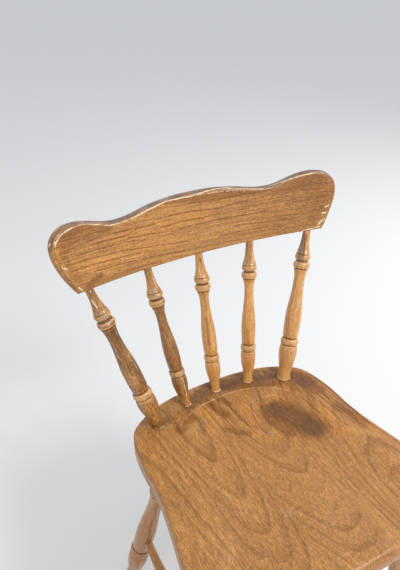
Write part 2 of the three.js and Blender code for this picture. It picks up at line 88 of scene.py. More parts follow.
# How uneven the turnings are: depth and size of the waves, and knocks, which crests take most
WAVES_MM, OVALNESS = ((0.10, 22), (0.05, 6)), 0.006
KNOCK_MM, KNOCK_SIZE_MM, KNOCK_FROM, KNOCK_FLAT, KNOCK_CREST = 0.7, 4.2, 0.42, 0.5, 2.0

# How far about a row its neighbours count, and how far it stands out where it is a full crest
CREST_REACH_MM, CREST_FULL_MM = 3.0, 0.8

# Height over which a leg's foot, cut level with the floor, goes over to square rows
LEVEL_FADE_MM = 40

# Wear and dirt on the turnings. Patches are an amount, how much it varies, and the patches' size.
# Scuffs are on the legs' lower ends, and heels have rubbed the tops of the stretchers
CREST_WEAR, HOLLOW_GRIME = 0.66, 0.9
RING_PATCHES, RING_OUTSIDE, RING_INSIDE = (0.62, 0.45, 5 * MM), 0.006, 0.004
SCUFF_PATCHES, SCUFF_SPAN_MM = (0.55, 0.5, 9 * MM), (8, 70)
TIP_WEAR, TIP_SPAN_MM = 0.9, (1, 7)
HEEL_PATCHES, HEEL_MOST, HEEL_SPAN_MM = (0.25, 0.7, 35 * MM), 0.8, (2, 10)

# Where a turning lies in its tree. Across and below the pith by a middle and a swing, whose angle
# turns by the last number from piece to piece, and so far along it
PITH_ACROSS_MM, PITH_BELOW_MM, PITH_ALONG_MM = (14, 9, 2.1), (19, 8, 1.3), 90

# Crest rail, in millimetres
RAIL_ABOVE_SEAT_MM, RAIL_BEHIND_SEAT_MM = 235, 35.7
RAIL_LEAN = math.radians(16.5)
RAIL_BOW_RADIUS_MM, RAIL_THICKNESS_MM = 680, 18
RAIL_HALF_MM, RAIL_BOTTOM_INSET_MM, RAIL_DROP_MM = 237, 28, 2.3
RAIL_WIDEST_MM, RAIL_HUMP_MM, RAIL_EAR_MM, RAIL_EAR_INSET_MM, RAIL_EAR_ROUND_MM = 63.5, 96.5, 94.4, 34, 15
RAIL_DIP_MM, RAIL_DIP_X_MM = 81.9, 129
RAIL_ROUND_MM, RAIL_BOTTOM_ROUND_MM, RAIL_ROUND_FULL_MM = 5, 1.5, 30
RAIL_END_ROUND_MM, RAIL_END_FROM_MM = 8, 190
RAIL_WAVES_MM = ((0.22, 55), (0.06, 14))

# How the rail's grain runs out and curves, how far the pith lies below the rail and before it, and
# where along the tree the rail was cut
RAIL_GRAIN_SLOPE, RAIL_GRAIN_CURVE, RAIL_PITH_MM = 0.04, 0.00003, (44, 34, 700)

# Handles of the rail's outline, as shares of the distance they run along
RAIL_END_HANDLES, RAIL_SHOULDER_HANDLE = ((0.59, 0.33), (1, 0.7)), 0.7
RAIL_FALL_HANDLES, RAIL_HUMP_HANDLES = (0.44, 0.66), (0.71, 0.62)

# Seat, in millimetres
SEAT_THICK_MM, SEAT_DEPTH_MM = 38, 401
SEAT_WAIST_MM, SEAT_WAIST_DEPTH_MM = 177, 134
SEAT_SHOULDER_INSET_MM, SEAT_SHOULDER_DEPTH_MM = 21.7, 41.5
SEAT_FRONT_MM, SEAT_CORNER_INSET_MM, SEAT_CORNER_DEPTH_MM, SEAT_BOW_MM = 205.5, 50, 79, 9
SEAT_ROUND_MM, SEAT_FRONT_ROUND_MM, SEAT_EDGE_MM, SEAT_BEVEL_MM = 6, 13, 23, 15
DISH_MM, DISH_RIM_MM, DISH_FRONT_RIM_MM, DISH_CENTRE = 9, 45, 28, 0.44
POMMEL, POMMEL_HALF_MM, POMMEL_SPAN, FRONT_SPAN = 0.55, 46, (0.5, 0.92), (0.72, 0.98)
SEAT_WAVES_MM = ((0.30, 60), (0.07, 12))

# The seat's boards: left and right joint, pith across and below, and how the pith runs out. Each
# board's grain starts so far along from the last one's
SEAT_BOARDS = (
    (-300, -118, -175, 60, 0.08),
    (-118, -34, -82, 44, -0.10),
    (-34, 52, 30, 52, -0.16),
    (52, 300, 150, 74, 0.10),
)
BOARD_APART_MM = 900

# How fine the modelled surfaces are: steps in millimetres, and points round a turning
RAIL_STEP_MM, RAIL_BACK_STEP_MM, SEAT_STEP_MM, SEAT_UNDER_STEP_MM = 1.1, 3.0, 1.8, 7.0
SEAT_FINE_STEP_MM, SEAT_FRONT_STEP_MM, SEAT_FINE_DEPTH_MM = 1.35, 2.6, 185
SPINDLE_SIDES, SPINDLE_STEP_MM = 84, 1.2
LEG_SIDES, STRETCHER_SIDES, LOWER_STEP_MM = 56, 44, 2.4
COLLAR_SIDES = 72

# Edges sharper than this are shaded as edges
SHARP_ANGLE = math.radians(48)

# Where on a rounded edge the finish is rubbed through, from the face round to the side
ARRIS_ANGLE, ARRIS_SPREAD, BORDER_START = math.radians(3), math.radians(11), math.radians(10)

# The photograph and the camera that took it
PHOTO_WIDTH, PHOTO_HEIGHT, FOCAL_PX = 400, 570, 608.2
CAMERA_FROM_FOOT = Vector((-0.3970, -0.6739, 0.6982))
CAMERA_HEADING, CAMERA_PITCH = math.radians(28.57), math.radians(32.10)
SENSOR_MM = 36

# How near a turned node's end, or the floor, its corners count as the end's own
END_REACH, FOOT_REACH = 0.5 * MM, 0.05 * MM

# The studio: a pale room, a pale floor and three soft lights
ROOM_COLOUR, ROOM_STRENGTH = (0.92, 0.95, 1.0, 1), 0.8
FLOOR_COLOUR, FLOOR_ROUGHNESS, FLOOR_REACH = (0.74, 0.74, 0.73, 1), 0.8, 20
LIGHTS = {
    "key": dict(place=(0.9, -2.0, 2.6), aim=(0, 0, 0.6), size=(0.8, 0.8), watts=54, colour=(1, 0.96, 0.90)),
    "fill": dict(place=(-2.3, -0.8, 1.6), aim=(0, 0, 0.5), size=(1.6, 1.6), watts=7, colour=(0.92, 0.96, 1)),
    "side": dict(place=(2.3, 0.5, 1.7), aim=(0, 0.1, 0.6), size=(0.5, 1.0), watts=22, colour=(0.95, 0.98, 1)),
}


# Small sums used throughout

def lerp(a, b, share):
    return a + (b - a) * share


def smooth(value, low, high):
    """0 up to low, 1 from high on, and a smooth rise between them."""
    share = np.clip((np.asarray(value, float) - low) / (high - low), 0, 1)
    return share * share * (3 - 2 * share)


def lumps(points, size, seed):
    """Smooth noise from -1 to 1 at each point, with lumps about size across."""
    at = np.asarray(points, float) / size + seed * 17.31
    cell = np.floor(at).astype(np.int64)
    share = at - cell
    share = share * share * (3 - 2 * share)
    total = np.zeros(len(at))
    for corner in itertools.product((0, 1), repeat=3):
        c = cell + np.array(corner)
        mixed = (c[:, 0] * 73856093) ^ (c[:, 1] * 19349663) ^ (c[:, 2] * 83492791) ^ (seed * 265443)
        mixed = (mixed ^ (mixed >> 13)) * 1274126177
        value = ((mixed ^ (mixed >> 16)) & 0xFFFF) / 32767.5 - 1
        total += np.prod(np.where(corner, share, 1 - share), axis=1) * value
    return total


def waves(points, sizes_mm, seed):
    """Unevenness in millimetres, for pairs of a depth and a lump size."""
    return sum(depth * lumps(points, size, seed + i) for i, (depth, size) in enumerate(sizes_mm))


def patches(points, amounts, seed):
    """Patchy amounts, from a middle amount, how much it varies, and the patches' size."""
    middle, varies, size = amounts
    return middle + varies * lumps(points, size, seed)


def bezier(points, steps):
    """Points along a Bezier curve, both ends included."""
    t = np.linspace(0, 1, steps + 1)[:, None]
    at = [np.array(p, float)[None] for p in points]
    while len(at) > 1:
        at = [a * (1 - t) + b * t for a, b in zip(at, at[1:])]
    return at[0]


# Camera, light and floor

def points_of(node):
    """A CAD node's corners, each once, in the row frame."""
    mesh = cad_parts[node].data
    found = np.empty(len(mesh.vertices) * 3)
    mesh.vertices.foreach_get("co", found)
    return np.unique(found.reshape(-1, 3).round(6), axis=0)


def axis_of(node):
    """The ends of a turned node's axis, the one nearer the floor or the front first."""
    points = points_of(node)
    middle = points.mean(0)
    direction = np.linalg.svd(points - middle, full_matrices=False)[2][0]
    along = (points - middle) @ direction
    ends = [points[along < along.min() + END_REACH], points[along > along.max() - END_REACH]]
    if min(end[:, 2].min() for end in ends) < END_REACH:
        top = max(ends, key=lambda end: end[:, 2].mean())
        ends = [points[points[:, 2] < FOOT_REACH], top]
    low, high = sorted((end.mean(0) for end in ends), key=lambda p: (round(p[2], 3), p[1], p[0]))
    return Vector(low), Vector(high)


SEAT_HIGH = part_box("seat")[1]
SEAT_TOP, SEAT_BACK = SEAT_HIGH.z, SEAT_HIGH.y
centre_low, centre_high = axis_of("spindle_centre")
CENTRE_FOOT = centre_low.lerp(centre_high, (SEAT_TOP - centre_low.z) / (centre_high.z - centre_low.z))


def make_camera():
    data = bpy.data.cameras.new("camera")
    data.sensor_width = SENSOR_MM
    data.lens = FOCAL_PX * SENSOR_MM / PHOTO_HEIGHT
    camera = bpy.data.objects.new("camera", data)
    camera.location = CENTRE_FOOT + CAMERA_FROM_FOOT
    camera.rotation_euler = (math.pi / 2 - CAMERA_PITCH, 0, -CAMERA_HEADING)
    bpy.context.scene.collection.objects.link(camera)
    bpy.context.scene.camera = camera
    bpy.context.view_layer.update()
    return camera


def add_area_light(name, place, aim, size, watts, colour):
    data = bpy.data.lights.new(name, "AREA")
    data.shape = "RECTANGLE"
    data.size, data.size_y = size
    data.energy = watts
    data.color = colour
    light = bpy.data.objects.new(name, data)
    light.location = place
    light.rotation_euler = (Vector(aim) - Vector(place)).to_track_quat("-Z", "Y").to_euler()
    bpy.context.scene.collection.objects.link(light)


def make_light():
    world = bpy.data.worlds.new("pale_room")
    world.use_nodes = True
    background = world.node_tree.nodes["Background"]
    background.inputs["Color"].default_value = ROOM_COLOUR
    background.inputs["Strength"].default_value = ROOM_STRENGTH
    bpy.context.scene.world = world
    for name, light in LIGHTS.items():
        add_area_light(name, **light)
    bpy.context.scene.view_settings.view_transform = "Standard"


def make_floor():
    mesh = bpy.data.meshes.new("floor")
    corners = [(FLOOR_REACH * x, FLOOR_REACH * y, 0) for x, y in ((-1, -1), (1, -1), (1, 1), (-1, 1))]
    mesh.from_pydata(corners, [], [(0, 1, 2, 3)])
    material = bpy.data.materials.new("pale_floor")
    material.use_nodes = True
    shader = material.node_tree.nodes["Principled BSDF"]
    shader.inputs["Base Color"].default_value = FLOOR_COLOUR
    shader.inputs["Roughness"].default_value = FLOOR_ROUGHNESS
    mesh.materials.append(material)
    floor = bpy.data.objects.new("floor", mesh)
    bpy.context.scene.collection.objects.link(floor)


camera = make_camera()
make_light()
make_floor()


def photo_ray(pixel):
    """The direction in which the camera sees a pixel of the photograph."""
    x, y = pixel
    ray = Vector(((x - PHOTO_WIDTH / 2) / FOCAL_PX, (PHOTO_HEIGHT / 2 - y) / FOCAL_PX, -1))
    return (camera.matrix_world.to_3x3() @ ray).normalized()


# Surfaces in the making

# What the masks paint: wear; dirt and painted shade; bare wood and painted highlights; stains and painted
# shade; paler wood and painted light; cloudy varnish and painted sheen
MASKS = ("wear", "grime_and_shade", "bare", "stain_and_shade", "paler_and_lit", "haze_and_sheen")

# A stroke or a chip is whole up to these shares of its width, and fades from there
STROKE_CORE, CHIP_CORE, CHIP_COLOUR_CORE = 0.35, 0.3, 0.5
CHIP_RAGGED, CHIP_RAGGED_SIZE = 0.35, 1.7 * MM


class Surface:
    """A mesh before Blender has it: points, faces, wood coordinates and painted masks."""

    def __init__(self, points, faces, grain):
        self.points = np.array(points, float)
        self.faces = faces
        self.grain = np.array(grain, float)
        self.masks = {name: np.zeros(len(self.points)) for name in MASKS}
        self.tree = None

    def seen_at(self, pixel):
        """Where the camera's ray through a pixel of the photograph meets this surface."""
        if self.tree is None:
            self.tree = BVHTree.FromPolygons(self.points.tolist(), self.faces)
        place, normal, *_ = self.tree.ray_cast(camera.location, photo_ray(pixel))
        if place is None:
            place, normal, *_ = self.tree.find_nearest(self.near_ray(pixel))
        return place, normal

    def near_ray(self, pixel):
        """The point of the ray through a pixel that comes nearest to this surface's points."""
        start, ray = np.array(camera.location), np.array(photo_ray(pixel))
        along = (self.points - start) @ ray
        gaps = np.linalg.norm(self.points - start - along[:, None] * ray, axis=1)
        best = gaps.argmin()
        return Vector(start + along[best] * ray)

    def distance_to(self, path):
        """How far each point is from a line through the points of path, in millimetres."""
        path = [np.array(p, float) for p in path]
        if len(path) == 1:
            path = path * 2
        best = np.full(len(self.points), np.inf)
        for a, b in zip(path, path[1:]):
            step = b - a
            share = np.clip((self.points - a) @ step / max(step @ step, 1e-12), 0, 1)
            gap = np.linalg.norm(self.points - a - share[:, None] * step, axis=1)
            best = np.minimum(best, gap)
        return best / MM

    def paint(self, mask, pixels, width_mm, strength=1.0):
        """Adds a stroke to a mask, along a line given in pixels of the photograph."""
        gap = self.distance_to([self.seen_at(p)[0] for p in pixels])
        stroke = strength * (1 - smooth(gap, STROKE_CORE * width_mm, width_mm))
        self.masks[mask] = np.maximum(self.masks[mask], stroke)

    def chip(self, pixels, width_mm, depth_mm, mask="bare"):
        """Breaks a splinter out along a line of pixels and leaves bare wood, or dirt, there."""
        hits = [self.seen_at(p) for p in pixels]
        inward = -sum((normal for _, normal in hits), Vector()).normalized()
        gap = self.distance_to([place for place, _ in hits])
        ragged = gap + CHIP_RAGGED * width_mm * lumps(self.points, CHIP_RAGGED_SIZE, seed=5)
        depth = depth_mm * (1 - smooth(ragged, CHIP_CORE * width_mm, width_mm))
        self.points += depth[:, None] * MM * np.array(inward)
        colour = 1 - smooth(ragged, CHIP_COLOUR_CORE * width_mm, width_mm)
        self.masks[mask] = np.maximum(self.masks[mask], colour)
        self.tree = None

    def to_piece(self, name, material, slot, nodes):
        """Makes the Blender object, which rides on the chair and stands for its CAD nodes."""
        mesh = bpy.data.meshes.new(name)
        mesh.from_pydata(self.points.tolist(), [], self.faces)
        mesh.shade_smooth()
        mesh.set_sharp_from_angle(angle=SHARP_ANGLE)
        for mask, values in self.masks.items():
            layer = mesh.attributes.new(mask, "FLOAT", "POINT")
            layer.data.foreach_set("value", np.clip(values, 0, 1).astype(np.float32))
        layer = mesh.attributes.new("grain", "FLOAT_VECTOR", "POINT")
        layer.data.foreach_set("vector", self.grain.astype(np.float32).ravel())
        mesh.materials.append(material)
        piece = bpy.data.objects.new(name, mesh)
        bpy.context.scene.collection.objects.link(piece)
        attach(piece, "root")
        if nodes:
            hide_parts(*nodes)
        return piece


def ring_faces(rows, count):
    """Quads between rows of count points each; the rows run up, the points anticlockwise."""
    faces = []
    for row in range(rows - 1):
        for i in range(count):
            a, b = row * count + i, row * count + (i + 1) % count
            faces.append((a, b, b + count, a + count))
    return faces


# Turned pieces

def sweep(low, high, steps):
    """A curve that runs along the axis at both ends. A point is (radius, station)."""
    first, second = (lerp(low[1], high[1], share) for share in SWEEP_HANDLES)
    return bezier([low, (low[0], first), (high[0], second), high], steps)


def flare(low, high, level, steps):
    """A curve that runs along the axis at its level end only, and leaves it late."""
    other = high if level == low else low
    return bezier([low, (level[0], lerp(level[1], other[1], FLARE_HANDLE)), high], steps)


def bead(base, radius, span, steps):
    """A half-round bead from base out to radius."""
    angle = np.linspace(0, math.pi, steps + 1)
    middle, half = (span[0] + span[1]) / 2, (span[1] - span[0]) / 2
    return np.stack([lerp(base, radius, np.sin(angle)), middle - half * np.cos(angle)], 1)


def post_profile(length, r):
    """The chair's turning pattern from foot to head, in millimetres."""
    vase, belly = (r["vase"], VASE), (r["belly"], BELLY)
    neck, head = (r["neck"], NECK), (r["head"], HEAD_END)
    groove = lerp(r["neck"], r["lower"], 0.5)
    notch = NOTCH_MM / length
    vase_top = (r["vase"] * SWELL_EDGE, VASE_END)
    belly_foot = (r["belly"] * SWELL_EDGE, BELLY_START + notch)
    head_foot = (lerp(r["head"], r["upper"], HEAD_FOOT), HEAD_START)
    groove_rows = (lerp(LOWER_BEAD[1], UPPER_BEAD[0], share) for share in GROOVE_SHARES)
    groove_floor = [(groove * GROOVE_FLOOR, row) for row in groove_rows]
    shares = np.concatenate([
        sweep((r["foot"], FOOT_END), vase, steps=26),
        flare(vase, vase_top, level=vase, steps=9)[1:],
        [(r["vase"] * NOTCH_FLOOR, VASE_END + notch)],
        bead(r["ring"] * RING_BASE, r["ring"], RING, steps=14),
        [(r["belly"] * NOTCH_FLOOR, RING[1] + notch)],
        flare(belly_foot, belly, level=belly, steps=22),
        sweep(belly, neck, steps=40)[1:],
        flare(neck, (groove * FILLET_TOP, FILLET), level=neck, steps=12)[1:],
        [(groove * FILLET_FLOOR, FILLET + notch)],
        bead(r["lower"] * LOWER_BEAD_BASE, r["lower"], LOWER_BEAD, steps=16),
        groove_floor,
        bead(r["upper"] * UPPER_BEAD_BASE, r["upper"], UPPER_BEAD, steps=12),
        [(lerp(r["head"], r["upper"], COVE_TOP), lerp(UPPER_BEAD[1], HEAD_START, 0.5))],
        flare(head_foot, head, level=head, steps=30),
    ])
    return shares * (1, length)


def swell_profile(length, r):
    """A stretcher that swells from its ends to its middle, in millimetres."""
    middle = (r["swell"], 0.5)
    low, high = (r["end"], STRETCHER_STRAIGHT), (r["end"], 1 - STRETCHER_STRAIGHT)
    shares = np.concatenate([sweep(low, middle, steps=50), sweep(middle, high, steps=50)[1:]])
    return shares * (1, length)


def evened(profile, step_mm):
    """Adds rows where a profile's points lie more than step_mm apart."""
    rows = [profile[0]]
    for low, high in zip(profile, profile[1:]):
        count = max(1, math.ceil(np.linalg.norm(high - low) / step_mm))
        rows += [lerp(low, high, i / count) for i in range(1, count + 1)]
    return np.array(rows)


def crests(radius, height, reach_mm):
    """How far each row stands out from the rows about it, in millimetres."""
    gap = (height[:, None] - height[None]) / reach_mm
    weight = np.exp(-gap * gap)
    return radius - (weight @ radius) / weight.sum(1)


def turned_surface(low, high, profile, sides, seed, level_foot=False):
    """A turned piece about the axis from low to high. Profile heights are counted from low."""
    radius, height = profile.T
    axis = (high - low).normalized()
    side = axis.orthogonal().normalized()
    front = axis.cross(side)
    angle = np.linspace(0, 2 * math.pi, sides, endpoint=False)
    out = np.outer(np.cos(angle), side) + np.outer(np.sin(angle), front)
    stands_out = crests(radius, height, CREST_REACH_MM)
    rows = len(radius)
    row_height = np.repeat(height, sides).reshape(rows, sides)
    if level_foot:
        rise = -radius[0] * out[:, 2] / axis.z
        fade = np.clip(1 - height / LEVEL_FADE_MM, 0, 1)
        row_height = row_height + fade[:, None] * rise
    local = np.stack([
        (radius[:, None] * np.cos(angle)).ravel(),
        (radius[:, None] * np.sin(angle)).ravel(),
        row_height.ravel(),
    ], 1)
    crest = np.repeat(np.clip(stands_out / CREST_FULL_MM, -1, 1), sides)
    knocks = np.clip(lumps(local, KNOCK_SIZE_MM, seed + 2) - KNOCK_FROM, 0, 1)
    knocks *= KNOCK_FLAT + KNOCK_CREST * np.clip(crest, 0, 1)
    worn_radius = np.repeat(radius, sides) + waves(local, WAVES_MM, seed) - KNOCK_MM * knocks
    worn_radius *= 1 + OVALNESS * np.cos(2 * np.tile(angle, rows) + seed)
    points = np.array(low) + MM * (
        worn_radius[:, None] * np.tile(out, (rows, 1)) + row_height.ravel()[:, None] * np.array(axis)
    )
    ends = [
        np.array(low) + MM * height[0] * np.array(axis),
        np.array(low) + MM * height[-1] * np.array(axis),
    ]
    faces = ring_faces(rows, sides)
    first, last = rows * sides, rows * sides + 1
    faces += [(first, (i + 1) % sides, i) for i in range(sides)]
    faces += [(last, (rows - 1) * sides + i, (rows - 1) * sides + (i + 1) % sides) for i in range(sides)]
    (across, swing, turn), (below, sway, lag) = PITH_ACROSS_MM, PITH_BELOW_MM
    pith = np.array([
        across + swing * math.sin(seed * turn), below + sway * math.cos(seed * lag), PITH_ALONG_MM * seed,
    ])
    grain = (np.concatenate([local, [(0, 0, height[0]), (0, 0, height[-1])]]) + pith) * MM
    surface = Surface(np.concatenate([points, ends]), faces, grain)
    surface.masks["wear"][:-2] = np.clip(crest * CREST_WEAR, 0, 1)
    surface.masks["grime_and_shade"][:-2] = np.clip(-crest * HOLLOW_GRIME, 0, 1)
    return surface


def spindle_surface(node, radii, seed):
    low, high = axis_of(node)
    length = (high - low).length / MM - SEAT_TENON_MM - RAIL_TENON_MM
    body = post_profile(length, radii)
    foot = [(radii["foot"], -SEAT_TENON_MM), (radii["foot"], 0)]
    head = [(radii["head"], length), (radii["head"] - TENON_TAPER_MM, length + RAIL_TENON_MM)]
    profile = evened(np.concatenate([foot, body, head]), SPINDLE_STEP_MM)
    profile[:, 1] += SEAT_TENON_MM
    surface = turned_surface(low, high, profile, SPINDLE_SIDES, seed)
    height = np.repeat(profile[:, 1] - SEAT_TENON_MM, SPINDLE_SIDES) / length
    ring = smooth(height, RING[0] - RING_OUTSIDE, RING[0] + RING_INSIDE)
    ring -= smooth(height, RING[1] - RING_INSIDE, RING[1] + RING_OUTSIDE)
    ring *= patches(surface.points[:-2], RING_PATCHES, seed)
    surface.masks["wear"][:-2] = np.maximum(surface.masks["wear"][:-2], ring)
    return surface


def leg_surface(node, seed):
    low, high = axis_of(node)
    length = (high - low).length / MM - LEG_TENON_MM
    body = post_profile(length, LEG)
    foot = [(LEG["foot"] + inset, height) for inset, height in LEG_TIP_MM]
    head = [(LEG["head"], length), (LEG["head"], length + LEG_TENON_MM)]
    profile = evened(np.concatenate([foot, body, head]), LOWER_STEP_MM)
    surface = turned_surface(low, high, profile, LEG_SIDES, seed, level_foot=True)
    height = np.repeat(profile[:, 1], LEG_SIDES)
    scuffed = (1 - smooth(height, *SCUFF_SPAN_MM)) * patches(surface.points[:-2], SCUFF_PATCHES, seed)
    rubbed = TIP_WEAR * (1 - smooth(height, *TIP_SPAN_MM))
    surface.masks["grime_and_shade"][:-2] = np.maximum(surface.masks["grime_and_shade"][:-2], scuffed)
    surface.masks["wear"][:-2] = np.maximum(surface.masks["wear"][:-2], rubbed)
    return surface


def stretcher_surface(node, radii, short_mm, seed):
    low, high = axis_of(node)
    length = (high - low).length / MM + 2 * short_mm
    ends = [[(radii["end"], short_mm)], [(radii["end"], length - short_mm)]]
    profile = evened(np.concatenate([ends[0], swell_profile(length, radii), ends[1]]), LOWER_STEP_MM)
    profile[:, 1] -= short_mm
    surface = turned_surface(low, high, profile, STRETCHER_SIDES, seed)
    heel = np.clip(patches(surface.points, HEEL_PATCHES, seed), 0, HEEL_MOST)
    up = (surface.points[:, 2] - (low.z + high.z) / 2) / MM
    surface.masks["wear"] = np.maximum(surface.masks["wear"], heel * smooth(up, *HEEL_SPAN_MM))
    return surface


# Plates: the rail and the seat, both an outline with rounded edges

def evenly(loop, step_mm):
    """A closed outline resampled to steps of about step_mm."""
    closed = np.concatenate([loop, loop[:1]])
    lengths = np.linalg.norm(np.diff(closed, axis=0), axis=1)
    along = np.concatenate([[0], np.cumsum(lengths)])
    count = round(along[-1] / step_mm)
    at = np.linspace(0, along[-1], count, endpoint=False)
    return np.stack([np.interp(at, along, closed[:, k]) for k in (0, 1)], 1)


def inward_of(loop):
    """Unit vectors that point into an anticlockwise outline."""
    along = np.roll(loop, -1, 0) - np.roll(loop, 1, 0)
    along /= np.linalg.norm(along, axis=1)[:, None]
    return np.stack([-along[:, 1], along[:, 0]], 1)


def inside(points, loop):
    """Which points lie inside a closed outline."""
    x, y = points[:, :1], points[:, 1:]
    x0, y0 = loop[:, 0], loop[:, 1]
    x1, y1 = np.roll(x0, -1), np.roll(y0, -1)
    crosses = (y0 > y) != (y1 > y)
    with np.errstate(divide="ignore", invalid="ignore"):
        reach = x0 + (y - y0) / (y1 - y0) * (x1 - x0)
    return (np.sum(crosses & (x < reach), axis=1) % 2).astype(bool)


def triangle_grid(low, high, step_mm):
    """Points in rows between two corners, each the middle of a hexagon."""
    rise = step_mm * math.sqrt(3) / 2
    rows = np.arange(low[1] + rise / 2, high[1], rise)
    return np.array([
        (x, y)
        for i, y in enumerate(rows)
        for x in np.arange(low[0] + (i % 2) * step_mm / 2, high[0], step_mm)
    ])


# A filling point keeps this share of a step from the outline
CLEAR_SHARE = 0.75
KEEP_INSIDE, TOUCHING_MM = 1, 1e-6


def filled(loop, step_mm, coarse_step_mm=None, coarse_below=None):
    """Points and triangles that fill an outline; its own points come first, in order.

    Below the height coarse_below, where one is given, the points lie further apart.
    """
    low, high = loop.min(0), loop.max(0)
    if coarse_below is None:
        grid = triangle_grid(low, high, step_mm)
    else:
        fine = triangle_grid((low[0], coarse_below), high, step_mm)
        grid = np.concatenate([triangle_grid(low, (high[0], coarse_below), coarse_step_mm), fine])
    grid = grid[inside(grid, loop)]
    tree = KDTree(len(loop))
    for i, (x, y) in enumerate(loop):
        tree.insert((x, y, 0), i)
    tree.balance()
    grid = np.array([p for p in grid if tree.find((p[0], p[1], 0))[2] > CLEAR_SHARE * step_mm])
    points = np.concatenate([loop, grid])
    count = len(loop)
    edges = [(i, (i + 1) % count) for i in range(count)]
    corners = [Vector(p) for p in points]
    made, _, faces, origin, *_ = delaunay_2d_cdt(corners, edges, [], KEEP_INSIDE, TOUCHING_MM)
    back = [origin[i][0] for i in range(len(made))]
    triangles = [tuple(back[i] for i in face) for face in faces]
    return points, triangles


def plate_surface(rows, top_fill, bottom_fill):
    """Joins rows of 3-D points, top row first, to a filled top and a filled bottom.

    A fill is (points, triangles), and its first points are the end row's own.
    """
    count = len(rows[0])
    points = [np.concatenate(rows)]
    faces = [tuple(reversed(face)) for face in ring_faces(len(rows), count)]
    start = len(points[0])
    for (fill, triangles), end_row, turned in ((top_fill, 0, False), (bottom_fill, len(rows) - 1, True)):
        first = end_row * count
        place = [first + i if i < count else start + i - count for i in range(len(fill))]
        points.append(fill[count:])
        start += len(fill) - count
        for a, b, c in triangles:
            face = (place[a], place[b], place[c])
            faces.append(tuple(reversed(face)) if turned else face)
    return np.concatenate(points), faces


def mirrored_loop(half):
    """A whole outline from its right half, given from one end on the middle line to the other."""
    return np.concatenate([half, (half[1:-1] * (-1, 1))[::-1]])


# Crest rail

def rail_outline():
    """The rail's outline seen from the front, anticlockwise, in millimetres."""
    half, ear, dip = RAIL_HALF_MM, RAIL_HALF_MM - RAIL_EAR_INSET_MM, RAIL_DIP_X_MM
    corner = half - RAIL_BOTTOM_INSET_MM
    foot = np.linspace(0, 1, 40)[:, None] * (corner, 0)
    foot[:, 1] = -RAIL_DROP_MM * (foot[:, 0] / corner) ** 2
    end_handles = [(lerp(corner, half, across), RAIL_WIDEST_MM * up) for across, up in RAIL_END_HANDLES]
    end = bezier([(corner, -RAIL_DROP_MM), *end_handles, (half, RAIL_WIDEST_MM)], steps=40)
    shoulder = lerp(RAIL_WIDEST_MM, RAIL_EAR_MM, RAIL_SHOULDER_HANDLE)
    ear_curve = bezier([
        (half, RAIL_WIDEST_MM), (half, shoulder), (ear + RAIL_EAR_ROUND_MM, RAIL_EAR_MM), (ear, RAIL_EAR_MM),
    ], steps=30)
    fall_out, fall_in = (lerp(ear, dip, share) for share in RAIL_FALL_HANDLES)
    fall = bezier([
        (ear, RAIL_EAR_MM), (fall_out, RAIL_EAR_MM), (fall_in, RAIL_DIP_MM), (dip, RAIL_DIP_MM),
    ], steps=40)
    hump_out, hump_in = (dip * share for share in RAIL_HUMP_HANDLES)
    hump = bezier([
        (dip, RAIL_DIP_MM), (hump_out, RAIL_DIP_MM), (hump_in, RAIL_HUMP_MM), (0, RAIL_HUMP_MM),
    ], steps=50)
    return mirrored_loop(np.concatenate([foot, end[1:], ear_curve[1:], fall[1:], hump[1:]]))


def rail_place(x, height, depth):
    """Bows, leans and places points given across, up and through the rail, in millimetres."""
    bow = RAIL_BOW_RADIUS_MM - np.sqrt(RAIL_BOW_RADIUS_MM ** 2 - x ** 2)
    y = depth - RAIL_THICKNESS_MM / 2 - bow
    lean_sin, lean_cos = math.sin(RAIL_LEAN), math.cos(RAIL_LEAN)
    return np.stack([
        x * MM,
        SEAT_BACK + (RAIL_BEHIND_SEAT_MM + y * lean_cos + height * lean_sin) * MM,
        SEAT_TOP + (RAIL_ABOVE_SEAT_MM + height * lean_cos - y * lean_sin) * MM,
    ], -1)


# Rows of the rail's rounded edges, from the face round to the side, and rows between the edges
RAIL_EDGE_ANGLES, RAIL_SIDE_ROWS = np.radians([0, 8, 18, 30, 45, 60, 75, 90]), (0.25, 0.5, 0.75)
RAIL_END_RISE_MM, RAIL_FACE_COARSER = (-2, 6), 1.25

# How uneven the rail's rubbed edge is: depth in millimetres and size
ARRIS_WAVE_MM, ARRIS_LOSS_MM = (0.3, 7), (0.4, 9)

# Wear, stain, dirt and haze on the rail, the haze on the edges partly cloudy varnish, partly a painted
# reflection. A pair of amounts is for low on the rail and for high on it
RAIL_UPPER_MM = (50, 80)
ARRIS_WEAR, ARRIS_PATCHES, ARRIS_PATCH_LIMITS = (0.35, 0.62), (0.87, 0.55, 26), (0.25, 1.1)
BORDER_FULL = 2.6 * BORDER_START
STREAK_SHAPE, STREAK_SIZE_MM = (0.2, 0.2, 1.6), 4
FACE_STAIN, STAIN_RIGHTWARD, RIGHTWARD_MM, STAIN_UPWARD, UPWARD_MM = 0.08, 0.42, (-20, 235), 0.38, (52, 92)
CLOUD_STAIN, CLOUD_SHAPE, CLOUD_SIZE_MM = 0.22, (0.35, 1, 1), 30
BORDER_STAIN, STREAK_STAIN = (0.3, 0.95), 0.4
BORDER_DIRT, DIRT_VARIES, DIRT_SIZE_MM = (0.15, 0.5), 0.3, 18
BORDER_HAZE_AND_SHEEN, STREAK_HAZE_AND_SHEEN = 0.75, 0.6


